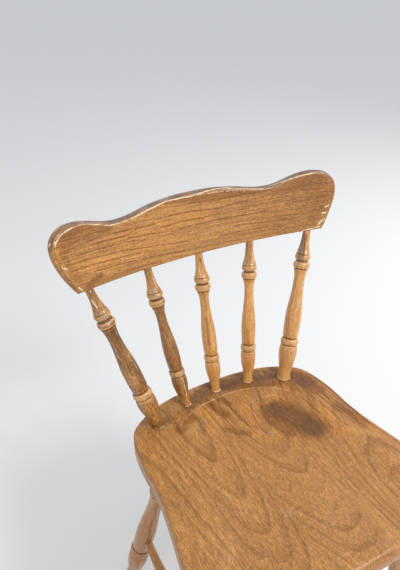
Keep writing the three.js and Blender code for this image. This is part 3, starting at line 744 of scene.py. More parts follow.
def rail_surface():
    loop = evenly(rail_outline(), RAIL_STEP_MM)
    inward = inward_of(loop)
    at_end = smooth(-loop[:, 0], RAIL_END_FROM_MM, RAIL_HALF_MM - RAIL_BOTTOM_INSET_MM)
    at_end = at_end * smooth(loop[:, 1], *RAIL_END_RISE_MM)
    rounding = lerp(RAIL_BOTTOM_ROUND_MM, RAIL_ROUND_MM, smooth(loop[:, 1], 0, RAIL_ROUND_FULL_MM))
    rounding = lerp(rounding, RAIL_END_ROUND_MM, at_end)
    angles = RAIL_EDGE_ANGLES
    flat_rows = []
    turn = []
    for side in ("front", "back"):
        for a in angles if side == "front" else angles[::-1]:
            place = loop + inward * (rounding * (1 - math.sin(a)))[:, None]
            depth = rounding * (1 - math.cos(a))
            depth = depth if side == "front" else RAIL_THICKNESS_MM - depth
            flat_rows.append(np.column_stack([place, depth]))
            turn.append(np.full(len(loop), a))
        if side == "front":
            low, high = flat_rows[-1][:, 2], RAIL_THICKNESS_MM - rounding
            for share in RAIL_SIDE_ROWS:
                flat_rows.append(np.column_stack([loop, lerp(low, high, share)]))
                turn.append(np.full(len(loop), math.pi / 2))
    fills = []
    face_step = RAIL_STEP_MM * RAIL_FACE_COARSER
    for row, step in ((flat_rows[0], face_step), (flat_rows[-1], RAIL_BACK_STEP_MM)):
        points, triangles = filled(row[:, :2], step)
        fills.append((np.column_stack([points, np.full(len(points), row[0, 2])]), triangles))
    flat, faces = plate_surface(flat_rows, *fills)
    x, height, depth = flat.T
    spread = np.column_stack([x, height, np.zeros(len(x))])
    depth = depth + waves(spread, RAIL_WAVES_MM, seed=3) * (1 - depth / RAIL_THICKNESS_MM)
    edge = len(turn) * len(loop)
    turned = np.zeros(len(flat))
    turned[:edge] = np.concatenate(turn)
    on_arris = np.zeros(len(flat))
    on_arris[:edge] = np.exp(-(((turned[:edge] - ARRIS_ANGLE) / ARRIS_SPREAD) ** 2))
    wave_mm, wave_size = ARRIS_WAVE_MM
    loss_mm, loss_size = ARRIS_LOSS_MM
    x = x + on_arris * wave_mm * lumps(flat, wave_size, seed=8)
    lost = loss_mm * np.clip(lumps(flat, loss_size, seed=9), 0, 1)
    height = height - on_arris * (height > RAIL_WIDEST_MM) * lost
    slope = RAIL_GRAIN_SLOPE * x + RAIL_GRAIN_CURVE * x * x
    grain = (np.column_stack([height + slope, depth, x]) + RAIL_PITH_MM) * MM
    surface = Surface(rail_place(x, height, depth), faces, grain)
    upper = smooth(flat[:, 1], *RAIL_UPPER_MM)
    patchy = np.clip(patches(flat, ARRIS_PATCHES, seed=11), *ARRIS_PATCH_LIMITS)
    surface.masks["wear"] = on_arris * lerp(*ARRIS_WEAR, upper) * patchy
    border = smooth(turned, BORDER_START, BORDER_FULL)
    streaks = lumps(flat * STREAK_SHAPE, STREAK_SIZE_MM, seed=13)
    face = FACE_STAIN + STAIN_RIGHTWARD * smooth(flat[:, 0], *RIGHTWARD_MM)
    face += STAIN_UPWARD * smooth(flat[:, 1], *UPWARD_MM)
    face += CLOUD_STAIN * lumps(spread * CLOUD_SHAPE, CLOUD_SIZE_MM, seed=14)
    edge_stain = lerp(*BORDER_STAIN, upper) + STREAK_STAIN * streaks
    surface.masks["stain_and_shade"] = np.clip(lerp(face, edge_stain, border), 0, 1)
    dirt = lerp(*BORDER_DIRT, upper) + DIRT_VARIES * lumps(flat, DIRT_SIZE_MM, seed=12)
    surface.masks["grime_and_shade"] = border * np.clip(dirt, 0, 1)
    # Cloudy varnish on the rounded edges, most on the upper ones, partly a painted bluish grey reflection
    surface.masks["haze_and_sheen"] = border * upper * np.clip(BORDER_HAZE_AND_SHEEN - STREAK_HAZE_AND_SHEEN * streaks, 0, 1)
    return surface


# Seat

# Handles of the seat's outline, as shares of the way or in millimetres from the point beside them
BACK_SHARE, WAIST_SHARES, CORNER_SHARE, FRONT_SHARES = 0.53, (0.48, 0.31), 0.68, (0.68, 0.34)
SHOULDER_BEHIND_MM, SHOULDER_AHEAD_MM, WAIST_IN_MM = (-30, 26), (12, -10.4), 3
CORNER_IN_MM, CORNER_AHEAD_MM, TURN_BESIDE_MM = 10, (5, -35), (36, 7)


def beside(point, offset):
    return point[0] + offset[0], point[1] + offset[1]


def seat_outline():
    """The seat's outline seen from above, anticlockwise, in millimetres from its back edge."""
    waist, front, depth = SEAT_WAIST_MM, SEAT_FRONT_MM, SEAT_DEPTH_MM
    shoulder = (waist - SEAT_SHOULDER_INSET_MM, -SEAT_SHOULDER_DEPTH_MM)
    narrow = (waist, -SEAT_WAIST_DEPTH_MM)
    corner = (front, SEAT_CORNER_DEPTH_MM - depth)
    turn = (front - SEAT_CORNER_INSET_MM, SEAT_BOW_MM - depth)
    waist_behind = (waist, lerp(shoulder[1], narrow[1], WAIST_SHARES[0]))
    waist_ahead = (waist - WAIST_IN_MM, lerp(narrow[1], corner[1], WAIST_SHARES[1]))
    corner_behind = (front - CORNER_IN_MM, lerp(narrow[1], corner[1], CORNER_SHARE))
    front_handles = [(turn[0] * share, -depth) for share in FRONT_SHARES]
    pieces = [
        bezier([
            (0, 0), (shoulder[0] * BACK_SHARE, 0), beside(shoulder, SHOULDER_BEHIND_MM), shoulder,
        ], steps=40),
        bezier([shoulder, beside(shoulder, SHOULDER_AHEAD_MM), waist_behind, narrow], steps=30),
        bezier([narrow, waist_ahead, corner_behind, corner], steps=50),
        bezier([corner, beside(corner, CORNER_AHEAD_MM), beside(turn, TURN_BESIDE_MM), turn], steps=30),
        bezier([turn, *front_handles, (0, -depth)], steps=40),
    ]
    half = np.concatenate([pieces[0]] + [p[1:] for p in pieces[1:]])
    return mirrored_loop(half[::-1])


# Rows of the seat's edge: angles of the rounding, then shares of the side and of the bevel
SEAT_EDGE_ANGLES, SEAT_SIDE_ROWS = np.radians([0, 15, 30, 45, 60, 75, 90]), (0.35, 0.7, 1)
SEAT_BEVEL_ROWS, DISH_POWER, ON_TOP_MM = (0.04, 0.35, 0.7, 0.96, 1), 3, (-16, -10)

# Wear on the dish's border and on the seat's edge, a patchy darkening round the sockets, and a painted shadow
# ring close round each spindle's foot
DISH_BORDER_MM, DISH_BORDER_PATCHES = (0.8, 3.2), (0.42, 0.3, 15)
EDGE_BELOW, EDGE_PATCHES = 0.4, (0.25, 0.3, 12)
HALO, HALO_MM, HALO_PATCHES = 0.5, 18, (0.6, 0.5, 11)
SOCKET_SHADOW, SOCKET_REACH, SOCKET_POWER = 0.75, 1.35, 6


def seat_surface():
    loop = evenly(seat_outline(), SEAT_STEP_MM)
    inward = inward_of(loop)
    forward = smooth(-loop[:, 1] / SEAT_DEPTH_MM, *FRONT_SPAN)
    rounding = lerp(SEAT_ROUND_MM, SEAT_FRONT_ROUND_MM, forward)
    rim = loop + inward * lerp(DISH_RIM_MM, DISH_FRONT_RIM_MM, forward)[:, None]
    centre = np.array([0, -DISH_CENTRE * SEAT_DEPTH_MM])
    bearing = np.arctan2(*(rim - centre).T[::-1])
    order = bearing.argsort()
    reach = np.linalg.norm(rim - centre, axis=1)

    def share_of(xy):
        """0 at the dish's middle, 1 at its border, more outside it."""
        at = np.arctan2(*(xy - centre).T[::-1])
        border = np.interp(at, bearing[order], reach[order], period=2 * math.pi)
        return np.linalg.norm(xy - centre, axis=1) / border

    def dished(xy):
        share = np.minimum(share_of(xy), 1)
        fore = smooth(-xy[:, 1] / SEAT_DEPTH_MM, *POMMEL_SPAN)
        pommel = POMMEL * fore * np.exp(-((xy[:, 0] / POMMEL_HALF_MM) ** 2))
        return -DISH_MM * (1 - share ** DISH_POWER) * (1 - pommel)

    rows = []
    for a in SEAT_EDGE_ANGLES:
        place = loop + inward * (rounding * (1 - math.sin(a)))[:, None]
        rows.append(np.column_stack([place, -rounding * (1 - math.cos(a))]))
    for share in SEAT_SIDE_ROWS:
        rows.append(np.column_stack([loop, lerp(-rounding, np.full(len(loop), -SEAT_EDGE_MM), share)]))
    for share in SEAT_BEVEL_ROWS:
        place = loop + inward * SEAT_BEVEL_MM * share
        rows.append(np.column_stack([place, np.full(len(loop), lerp(-SEAT_EDGE_MM, -SEAT_THICK_MM, share))]))
    top, top_faces = filled(rows[0][:, :2], SEAT_FINE_STEP_MM, SEAT_FRONT_STEP_MM, -SEAT_FINE_DEPTH_MM)
    top = np.column_stack([top, dished(top)])
    under, under_faces = filled(rows[-1][:, :2], SEAT_UNDER_STEP_MM)
    under = np.column_stack([under, np.full(len(under), -SEAT_THICK_MM)])
    flat, faces = plate_surface(rows, (top, top_faces), (under, under_faces))
    x, y, z = flat.T
    on_top = smooth(z, *ON_TOP_MM)
    spread = np.column_stack([x, y, np.zeros(len(x))])
    z = z + on_top * waves(spread, SEAT_WAVES_MM, seed=21)
    points = np.column_stack([x, y, z]) * MM + (0, SEAT_BACK, SEAT_TOP)
    surface = Surface(points, faces, seat_grain(x, y, z) * MM)
    border = np.abs(share_of(flat[:, :2]) - 1) * reach.mean()
    on_border = (1 - smooth(border, *DISH_BORDER_MM)) * on_top
    border_wear = on_border * patches(spread, DISH_BORDER_PATCHES, seed=23)
    edge = (z < -EDGE_BELOW * SEAT_ROUND_MM) & (z > -SEAT_EDGE_MM)
    edge_wear = np.where(edge, patches(flat, EDGE_PATCHES, seed=24), 0)
    surface.masks["wear"] = np.maximum(border_wear, edge_wear)
    for node, radii in SPINDLES.items():
        foot = seat_point(node)
        gap = np.linalg.norm(points[:, :2] - np.array(foot)[:2], axis=1) / MM
        near = SOCKET_REACH * radii["foot"]
        # A patchy darkening round each socket, and close round the spindle's foot a painted shadow ring
        halo = HALO * np.exp(-((gap / HALO_MM) ** 2)) * patches(spread, HALO_PATCHES, seed=25)
        halo += SOCKET_SHADOW * np.exp(-((gap / near) ** SOCKET_POWER))
        surface.masks["grime_and_shade"] = np.maximum(surface.masks["grime_and_shade"], halo * on_top)
    return surface


def seat_grain(x, y, z):
    """Wood coordinates of the seat's glued boards: each was sawn at its own distance from the pith."""
    grain = np.zeros((len(x), 3))
    for number, (left, right, pith_x, pith_depth, run_out) in enumerate(SEAT_BOARDS):
        on = (x >= left) & (x < right)
        depth = z + pith_depth + run_out * y
        grain[on] = np.column_stack([x - pith_x, depth, y + BOARD_APART_MM * number])[on]
    return grain


def seat_point(node):
    """Where a spindle's axis meets the top of the seat."""
    low, high = axis_of(node)
    return low.lerp(high, (SEAT_TOP - low.z) / (high.z - low.z))


# Old glue and varnish that stands round a spindle's foot

# The ring's rows, how ragged it is, its sizes, and its masks with how far their patches vary
GLUE_ROWS, GLUE_RAGGED, GLUE_WAVES, GLUE_LIMITS = 6, 0.55, ((0.6, 1.1), (0.3, 0.5)), (0.12, 1.4)
GLUE_TURN, GLUE_FROM_MM, GLUE_WIDTH_MM, GLUE_HEIGHT_MM = 3, 0.15, 1.5, 0.9
GLUE_FALL, GLUE_SUNK_MM, GLUE_INSIDE_MM, GLUE_UNDER_MM = 1.6, 0.12, 1.2, 0.6
GLUE_WEAR, GLUE_BARE, GLUE_GRIME, GLUE_PATCH = 0.9, (0.26, 0.6), (0.3, -0.7), 5 * MM


def collar_surface(node, radius_mm, seed):
    low, high = axis_of(node)
    foot = np.array(seat_point(node))
    axis = np.array((high - low).normalized())
    sides = COLLAR_SIDES
    angle = np.linspace(0, 2 * math.pi, sides, endpoint=False)
    level = np.stack([np.cos(angle), np.sin(angle), np.zeros(sides)], 1)
    across = level - (level @ axis)[:, None] * axis
    stretch = radius_mm / np.linalg.norm(across, axis=1)
    ragged = np.clip(GLUE_RAGGED + waves(level * GLUE_TURN, GLUE_WAVES, seed), *GLUE_LIMITS)
    slope = axis[:2] / axis[2]
    rows = []
    for share in np.linspace(0, 1, GLUE_ROWS):
        out = stretch + ragged * (GLUE_FROM_MM + GLUE_WIDTH_MM * share)
        rise = ragged * GLUE_HEIGHT_MM * (1 - share) ** GLUE_FALL - GLUE_SUNK_MM * share
        row = foot + level * (out * MM)[:, None]
        row[:, :2] += (rise * (1 - share) * MM)[:, None] * slope
        row[:, 2] += rise * MM
        rows.append(row)
    inner = rows[0] - level * GLUE_INSIDE_MM * MM
    under = rows[-1] - (0, 0, GLUE_UNDER_MM * MM)
    points = np.concatenate([under, *rows[::-1], inner])
    faces = ring_faces(GLUE_ROWS + 2, sides)
    last = (GLUE_ROWS + 1) * sides
    faces += [(i, last + i, last + (i + 1) % sides, (i + 1) % sides) for i in range(sides)]
    surface = Surface(points, faces, points)
    patchy = lumps(points, GLUE_PATCH, seed + 2)
    surface.masks["wear"][:] = GLUE_WEAR
    surface.masks["bare"][:] = np.clip(GLUE_BARE[0] + GLUE_BARE[1] * patchy, 0, 1)
    surface.masks["grime_and_shade"][:] = np.clip(GLUE_GRIME[0] + GLUE_GRIME[1] * patchy, 0, 1)
    return surface


# Marks seen in the photograph. Each is (mask, strength, width in mm, line of photo pixels).

RAIL_MARKS = (
    # The rubbed edge of the face, from the left end over the hump to the right ear; round the left end and
    # its ear the pale line is partly a painted highlight
    ("bare", 0.8, 1.4, ((55, 246.5), (57, 241), (61, 235.5), (66, 231), (72, 227.8))),
    ("bare", 0.5, 1.2, ((72, 227.8), (79, 225.2), (86, 224.3))),
    ("bare", 0.6, 1.1, ((86, 224.3), (97, 224.6), (109, 225.4), (120.4, 223), (132, 218.6))),
    ("bare", 0.9, 1.2, (
        (132, 218.6), (143, 212.8), (149, 209.6), (155, 206.5), (160.5, 203.8), (166, 201.3),
    )),
    ("bare", 0.8, 1.3, ((166, 201.3), (178, 198.5), (190, 196.3), (197, 194.4), (205, 191.4), (213, 189.4))),
    ("bare", 0.8, 1.2, ((213, 189.4), (223, 188), (236, 188.2), (250, 188.6), (263, 188.6))),
    ("bare", 0.7, 1.1, ((197, 194.6), (210, 193), (222, 191.2), (232, 190.4), (246, 190.6))),
    ("bare", 0.7, 1.6, ((268, 186.4), (276, 184), (286, 180.4), (296, 177), (306, 174.4), (314, 172.8))),
    ("bare", 0.6, 1.3, ((314, 172.8), (322, 173.8), (328, 177.2), (331, 181))),
    # Cream patches on the left end: partly worn wood, partly painted highlights
    ("bare", 0.9, 2.2, ((48.8, 246.4), (49.8, 243.6))),
    ("bare", 0.6, 1.6, ((53.8, 244.6), (55, 242))),
    ("wear", 0.9, 4.5, ((50, 240), (54, 233), (60, 226.5), (66, 222.8))),
    # Dirt on the top edge and at the foot of the left end, and painted shade along the left end's edge
    ("grime_and_shade", 0.75, 2.6, ((84, 221.8), (98, 221.6), (110, 221.8), (122, 218.6), (134, 212.4), (150, 204.6))),
    ("grime_and_shade", 0.5, 2.2, ((150, 204.6), (164, 197.6), (180, 193.4), (200, 189.2))),
    ("grime_and_shade", 0.6, 1.6, ((54, 251), (56.6, 259), (61.4, 269), (67.4, 278.6), (76, 288))),
    ("grime_and_shade", 0.45, 4.0, ((53, 262), (60, 274), (68, 284), (76, 290))),
    # Specks and scratches
    ("bare", 0.85, 1.0, ((194.2, 224.8), (194.8, 225.2))),
    ("bare", 0.5, 0.8, ((136.0, 266.0), (136.6, 268.4))),
    ("bare", 0.55, 0.8, ((272, 235.4), (272.3, 236.6))),
    ("bare", 0.55, 0.8, ((280.3, 233), (280.7, 234.2))),
    ("bare", 0.75, 1.3, ((302.7, 230.6), (311, 228.6), (320.3, 226.2))),
    ("wear", 0.9, 4.0, ((318, 224), (321, 221.6), (324, 219))),
    ("wear", 0.6, 1.2, ((315.2, 206.2), (316.8, 205.4), (318, 206.8), (316.8, 208.4), (315.2, 206.2))),
    # Darker and paler wood
    ("stain_and_shade", 1.0, 5.0, ((166, 202.2), (178, 201.3), (189, 200.4), (204, 199.9), (218.5, 199.4))),
    ("stain_and_shade", 0.95, 9.0, ((190, 200.4), (200, 198.6), (215, 196.4), (228, 195), (240, 193.4))),
    ("stain_and_shade", 0.9, 5.0, ((236, 194.4), (246, 192.8), (257, 191.4), (268, 189.4), (276, 187.4))),
    ("stain_and_shade", 0.9, 9.0, ((62, 240), (72, 233), (84, 229), (97, 228.5), (108, 228.6))),
    ("grime_and_shade", 0.3, 9.0, ((70, 237), (80, 231), (92, 229))),
    ("stain_and_shade", 0.7, 14.0, ((64, 248), (70, 240), (79, 235), (90, 231.5))),
    ("stain_and_shade", 0.5, 10.0, ((64, 258), (70, 268), (78, 279), (85, 287))),
    ("stain_and_shade", 0.9, 7.0, ((88, 286), (94, 281), (101, 276))),
    ("stain_and_shade", 0.5, 9.0, ((90, 287), (120, 276), (160, 264))),
    ("stain_and_shade", 0.65, 16.0, ((304, 182), (316, 183), (324, 190))),
    ("stain_and_shade", 0.75, 14.0, ((280, 190), (300, 186), (318, 187))),
    ("grime_and_shade", 0.24, 26.0, ((276, 196), (300, 190), (320, 192))),
    ("stain_and_shade", 0.7, 16.0, ((322, 196), (318, 208), (312, 218))),
    ("paler_and_lit", 0.9, 18.0, ((120, 240), (150, 230), (180, 221), (205, 214))),
    ("paler_and_lit", 0.6, 16.0, ((80, 270), (110, 262), (140, 253), (170, 244))),
    ("paler_and_lit", 0.5, 12.0, ((168, 208), (160, 213), (150, 219))),
)

# The dark lines of the grain that can be followed on the rail's face
RAIL_LINES = (
    ((68, 239.5), (76, 234.6), (85, 230.4)),
    ((69, 244.6), (85, 236.6), (101, 230.4), (113, 226.6)),
    ((64, 252), (78, 245.6), (93, 239.6), (101, 235)),
    ((59, 255), (75, 250.6), (95, 244), (109, 240), (123, 236.4), (136, 230)),
    ((62, 259.6), (78, 255), (97, 249.6), (109, 246.6), (125, 242), (145, 239.6)),
    ((115, 233.6), (130, 229.4), (145, 226.6), (155, 224)),
    (
        (156, 219.6), (175, 214.2), (192, 211.4), (206, 210), (220, 208), (234, 203.4), (248, 200.2),
        (264, 197),
    ),
    ((151, 231), (169, 225.4), (180, 221.4), (200, 218), (218, 214), (236, 210), (250, 208)),
    (
        (127, 238), (155, 233.4), (175, 230.6), (196, 224.6), (213, 220.6), (232, 217), (250, 214),
        (266, 210.4),
    ),
    ((67, 266), (87, 259.4), (105, 255), (121, 251), (143, 248), (165, 244.4), (189, 241)),
    ((71, 271.4), (92, 265), (115, 259), (135, 254), (155, 250.6)),
    ((78, 276.4), (101, 269.6), (121, 264), (141, 259), (161, 255), (185, 250.6)),
    ((180, 201), (195, 200), (210, 199.6), (222, 198.2), (232, 196.2), (242, 194.4), (254, 192.6)),
    ((234, 226), (246, 224), (264, 222), (282, 220.4), (300, 217.6)),
    ((220, 236), (240, 231.6), (262, 227.6), (284, 226)),
    ((285, 203.4), (300, 201), (318, 199.6)),
    ((291, 199), (302, 197), (313, 196.6)),
    ((298, 187.4), (306, 184.6), (313, 180.4), (320, 177)),
)
RAIL_LINE_MM, RAIL_LINE_GRIME = 1.35, 0.46

# Splinters broken out of the rail's ends: line, width and depth in millimetres
RAIL_CHIPS = (
    (((62.5, 268.2), (67.0, 269)), 1.1, 0.5),
    (((78.8, 287.4), (82.2, 290)), 1.3, 0.6),
    (((325.5, 206.6), (329.0, 205)), 1.6, 0.8),
    (((321.5, 213), (325.8, 212.4)), 1.4, 0.7),
    (((322.5, 219.5), (319.5, 223)), 1.2, 0.6),
)

SEAT_MARKS = (
    # The dish's border, where the carving meets the flat rim
    ("wear", 0.72, 1.7, ((179.8, 426.8), (182.5, 421.4), (188, 415.9), (193.5, 410.5), (200.7, 405.9))),
    ("wear", 0.95, 1.6, ((200.7, 405.9), (208, 402.3), (215.3, 398.6), (224.4, 394.5), (230.7, 392.3))),
    ("wear", 0.85, 1.5, (
        (230.7, 392.3), (241.6, 389.5), (254.4, 387.7), (268, 387.4), (280, 388.5), (290, 390.4),
    )),
    ("bare", 0.95, 1.3, ((274.9, 387.2), (275.5, 387.4))),
    ("bare", 0.6, 1.2, ((184.4, 411.2), (184.8, 411.6))),
    ("bare", 0.45, 1.0, ((174, 409), (175.4, 412))),
    ("stain_and_shade", 0.8, 1.3, ((345, 433), (347.4, 429.2), (351, 428))),
    ("stain_and_shade", 0.8, 1.1, ((241.2, 398.6), (238.5, 405), (236.2, 412.3))),
    ("stain_and_shade", 0.6, 1.1, ((237, 396), (235.4, 404), (236.2, 412.3))),
    ("bare", 0.4, 0.9, ((240.4, 398.8), (237.8, 405))),
    # Dirt and smears beside the sockets
    ("grime_and_shade", 0.62, 9.0, ((202, 387.6), (208, 389))),
    ("grime_and_shade", 0.55, 7.0, ((220, 388.6), (223, 389.6))),
    ("grime_and_shade", 0.62, 9.0, ((235.4, 374.6), (242, 377.8))),
    ("grime_and_shade", 0.5, 8.0, ((254, 379), (258, 381))),
    ("grime_and_shade", 0.55, 8.0, ((173, 398), (178, 401))),
    ("grime_and_shade", 0.5, 6.0, ((190.6, 403), (193, 405))),
    ("grime_and_shade", 0.55, 8.0, ((166, 418), (169, 423))),
    ("grime_and_shade", 0.55, 8.0, ((270, 371.6), (275, 375))),
    ("grime_and_shade", 0.6, 9.0, ((291, 374), (293, 380))),
    ("grime_and_shade", 0.42, 6.0, ((288, 385), (302, 391.6), (314, 398))),
    ("haze_and_sheen", 0.3, 12.0, ((196, 392), (214, 385), (232, 379), (254, 384))),
    ("haze_and_sheen", 0.3, 12.0, ((262, 379), (276, 381), (290, 384))),
    # Darker wood, and a darker band along the row of sockets
    ("stain_and_shade", 1.0, 40.0, ((282, 412), (296, 418), (312, 427))),
    ("grime_and_shade", 0.7, 30.0, ((276, 410), (292, 416), (312, 427))),
    ("grime_and_shade", 0.3, 10.0, ((262, 396), (266, 408), (272, 420))),
    ("stain_and_shade", 0.8, 20.0, ((266, 411), (276, 422), (290, 431))),
    ("stain_and_shade", 1.0, 22.0, ((205, 372), (225, 386), (262, 381), (292, 378), (316, 389))),
    ("grime_and_shade", 0.7, 24.0, ((190, 404), (208, 390), (232, 381), (258, 375), (288, 372), (306, 382))),
    ("stain_and_shade", 1.0, 10.0, ((209, 403), (217, 409), (226, 415))),
    ("stain_and_shade", 1.0, 8.0, ((219, 398.6), (224, 400.6), (229, 404))),
    ("grime_and_shade", 0.55, 9.0, ((200.6, 419), (202, 425), (203.4, 432))),
    ("stain_and_shade", 0.8, 9.0, ((228, 430), (238, 432), (249, 434))),
    ("stain_and_shade", 0.7, 14.0, ((338, 404), (350, 413), (362, 424))),
    ("stain_and_shade", 0.7, 16.0, ((190, 418), (180, 430))),
    # Paler, warmer wood
    ("paler_and_lit", 1.0, 12.0, ((200, 407), (208, 413), (218, 423))),
    ("paler_and_lit", 1.0, 16.0, ((242, 408), (248, 416), (255, 424), (257, 431))),
    ("paler_and_lit", 1.0, 20.0, ((324, 412), (334, 419), (346, 430))),
    ("paler_and_lit", 0.6, 14.0, ((262, 394), (272, 398), (284, 400))),
    ("paler_and_lit", 0.6, 10.0, ((362, 419), (370, 425), (378, 431))),
)

# The dark lines of the grain that can be followed on the seat
SEAT_LINES = (
    ((250.7, 404), (252.5, 413), (256.2, 422), (262.5, 429.5), (268, 434)),
    ((258, 390), (260, 398), (262, 409), (266, 419), (273, 425.4), (284, 433)),
    ((228, 405), (235, 412), (246, 423), (255, 432)),
    ((324, 417), (330, 425), (338, 434)),
    ((294, 372), (312, 384), (330, 399)),
    ((302, 378), (320, 392), (340, 408), (360, 424)),
    ((310, 374), (326, 386), (346, 403), (370, 424)),
    ((302, 388), (326, 407), (350, 427)),
    ((300, 396), (320, 413)),
    ((270, 398), (284, 408), (298, 420), (310, 432)),
    ((280, 398), (296, 410), (312, 423), (322, 432)),
    ((203, 407), (210, 414), (218, 423), (226, 433)),
    ((212, 407), (222, 416), (232, 426), (240, 435)),
    ((286, 372), (306, 385), (328, 402), (348, 418)),
    ((298, 370), (318, 384), (340, 400), (366, 419)),
    ((314, 384), (332, 398), (350, 413), (366, 429)),
    ((318, 380), (336, 394), (356, 411), (376, 428)),
)
SEAT_LINE_MM, SEAT_LINE_GRIME = 1.45, 0.62

SPINDLE_MARKS = {
    "spindle_outer_left": (
        # Painted highlights and sheen: the thin bare strokes down the head, belly and vase, some over worn
        # spots, and the haze strokes on the bead and belly
        ("bare", 0.8, 1.8, ((92, 300.4), (94, 303.6), (97.3, 308))),
        ("bare", 0.7, 1.4, ((90.3, 291.2), (90.6, 292.2))),
        ("bare", 0.6, 1.5, ((106, 322.4), (108, 324.6), (110, 325))),
        ("bare", 0.55, 1.1, ((113, 345), (115, 349), (117, 352.4))),
        ("bare", 0.6, 1.1, ((117.4, 354.6), (118.6, 357.6), (121.2, 360))),
        ("bare", 0.45, 1.0, ((124.4, 351.3), (126, 354), (127.7, 356.7))),
        ("bare", 0.6, 1.1, ((135.3, 377.3), (136.2, 380), (137.5, 381.7))),
        ("grime_and_shade", 0.75, 2.0, ((121, 348), (126, 361), (132, 376))),
        ("grime_and_shade", 0.7, 3.0, ((133, 389.5), (137, 390.6), (141, 391.6))),
        ("grime_and_shade", 0.5, 2.4, ((144, 405), (150, 418), (154, 428))),
        ("haze_and_sheen", 0.8, 6.0, ((100, 313), (104, 319), (107, 325))),
        ("bare", 0.52, 1.4, ((127.6, 355), (133, 362), (138, 370))),
        ("bare", 0.5, 1.3, ((115.6, 330), (117.6, 335))),
        ("bare", 0.56, 1.3, ((149.4, 401), (154, 411), (158.2, 421))),
        ("paler_and_lit", 0.8, 3.0, ((109, 340), (116, 352), (124, 366))),
        ("haze_and_sheen", 0.6, 5.0, ((138.5, 372), (142, 377), (145, 381.7))),
        ("wear", 0.9, 2.4, ((134, 397.4), (141, 396.6), (148, 392))),
    ),
    "spindle_inner_left": (
        # Painted highlights and sheen: the bare strokes on the head and vase, and the haze strokes on the
        # beads, belly and vase
        ("grime_and_shade", 0.65, 1.6, ((162.4, 326.4), (167, 337), (174.3, 349))),
        ("grime_and_shade", 0.55, 1.6, ((166, 345), (170, 355), (174, 364))),
        ("haze_and_sheen", 0.8, 5.0, ((153, 291), (156, 297), (159, 304))),
        ("haze_and_sheen", 0.4, 2.2, ((170, 334), (175, 346), (180, 360))),
        ("bare", 0.64, 1.4, ((182.4, 378), (184.6, 386), (187, 396))),
        ("bare", 0.64, 1.3, ((153.2, 278), (155, 283), (157, 288))),
        ("haze_and_sheen", 0.7, 3.0, ((180, 373), (182, 378), (183, 382))),
        ("wear", 0.8, 2.0, ((172, 375.6), (177, 374), (183, 369.6))),
        ("grime_and_shade", 0.6, 2.0, ((178, 389), (182, 397), (185, 403))),
    ),
    "spindle_centre": (
        # Painted highlights and sheen: the longer bare strokes on the head and vase, and the haze stroke on
        # the beads
        ("grime_and_shade", 0.5, 4.0, ((199.6, 258), (200.4, 262))),
        ("haze_and_sheen", 0.7, 4.0, ((202, 278), (202.5, 283), (203, 288))),
        ("bare", 0.45, 1.0, ((213.6, 310), (213.8, 311.4))),
        ("bare", 0.6, 1.3, ((198.6, 267), (200, 272), (201.4, 277))),
        ("bare", 0.6, 1.3, ((218, 364), (218.6, 372), (218.6, 379))),
        ("bare", 0.4, 1.0, ((209, 348.4), (212, 348.2), (215, 347.6))),
        ("grime_and_shade", 0.45, 3.5, ((203, 292), (205, 300), (207, 310))),
        ("stain_and_shade", 0.7, 4.0, ((206, 318), (208, 332), (209, 344))),
    ),
    "spindle_inner_right": (
        # The haze stroke is painted sheen
        ("haze_and_sheen", 0.6, 4.0, ((249, 262), (249, 270), (249, 276))),
        ("stain_and_shade", 0.8, 8.0, ((249, 244), (249, 254), (249, 262))),
        ("bare", 0.6, 1.3, ((252.4, 252), (253, 258), (253.6, 263))),
        ("stain_and_shade", 0.7, 4.0, ((247, 330), (247.5, 338), (248, 344))),
        ("stain_and_shade", 0.45, 9.0, ((248, 350), (248, 360), (247, 372))),
        ("grime_and_shade", 0.35, 2.0, ((249, 352), (249, 362), (248, 372))),
    ),
    "spindle_outer_right": (
        # Painted sheen and highlights: the haze strokes on the head and lower down, and the bare strokes down
        # the belly
        ("haze_and_sheen", 0.95, 7.0, ((302, 238), (301, 246), (300.5, 254), (299, 263))),
        ("haze_and_sheen", 0.45, 6.0, ((291, 342), (288, 352), (285, 364))),
        ("grime_and_shade", 0.5, 1.6, ((297, 290), (295, 304), (292, 320))),
        ("grime_and_shade", 0.45, 1.6, ((290, 318), (288, 328), (287, 334))),
        ("bare", 0.62, 1.3, ((300.5, 297), (299, 303), (297, 311))),
        ("bare", 0.6, 1.3, ((302.4, 279), (301.6, 284), (300.6, 290))),
        ("bare", 0.56, 1.3, ((294, 345), (291.4, 353), (289.4, 362))),
        ("stain_and_shade", 0.9, 9.0, ((304, 236), (302, 247), (301, 256))),
        ("grime_and_shade", 0.52, 9.0, ((304, 236), (302, 247), (301, 256))),
        ("grime_and_shade", 0.7, 2.4, ((305.6, 236), (304.4, 246), (304, 254))),
    ),
}

NAIL_HOLE, NAIL_HOLE_MM, NAIL_DEPTH_MM = ((200, 259.9), (200.3, 260.3)), 1.9, 1.6

# How much darker or lighter each spindle is painted than the rest of the chair: partly the wood's own tone,
# partly painted shade on the left spindles and painted light on the right ones, as the light falls from the
# right
SPINDLE_TONES_AND_LIGHT = {
    "spindle_outer_left": (("stain_and_shade", 1.0), ("grime_and_shade", 0.68)),
    "spindle_inner_left": (("stain_and_shade", 0.85), ("grime_and_shade", 0.5)),
    "spindle_centre": (("paler_and_lit", 0.4),),
    "spindle_inner_right": (("paler_and_lit", 0.35),),
    "spindle_outer_right": (("paler_and_lit", 0.25),),
}
TONE_VARIES, TONE_SHAPE, TONE_SIZE = 0.5, (1, 1, 0.35), 14 * MM

# Above the seat, from the first height to the second, these tones weaken towards the heads
HEAD_FROM_MM, HEAD_FULL_MM, HEAD_WEAKER = 188, 206, 0.42


def paint_marks(surface, marks):
    for mask, strength, width_mm, pixels in marks:
        surface.paint(mask, pixels, width_mm, strength)


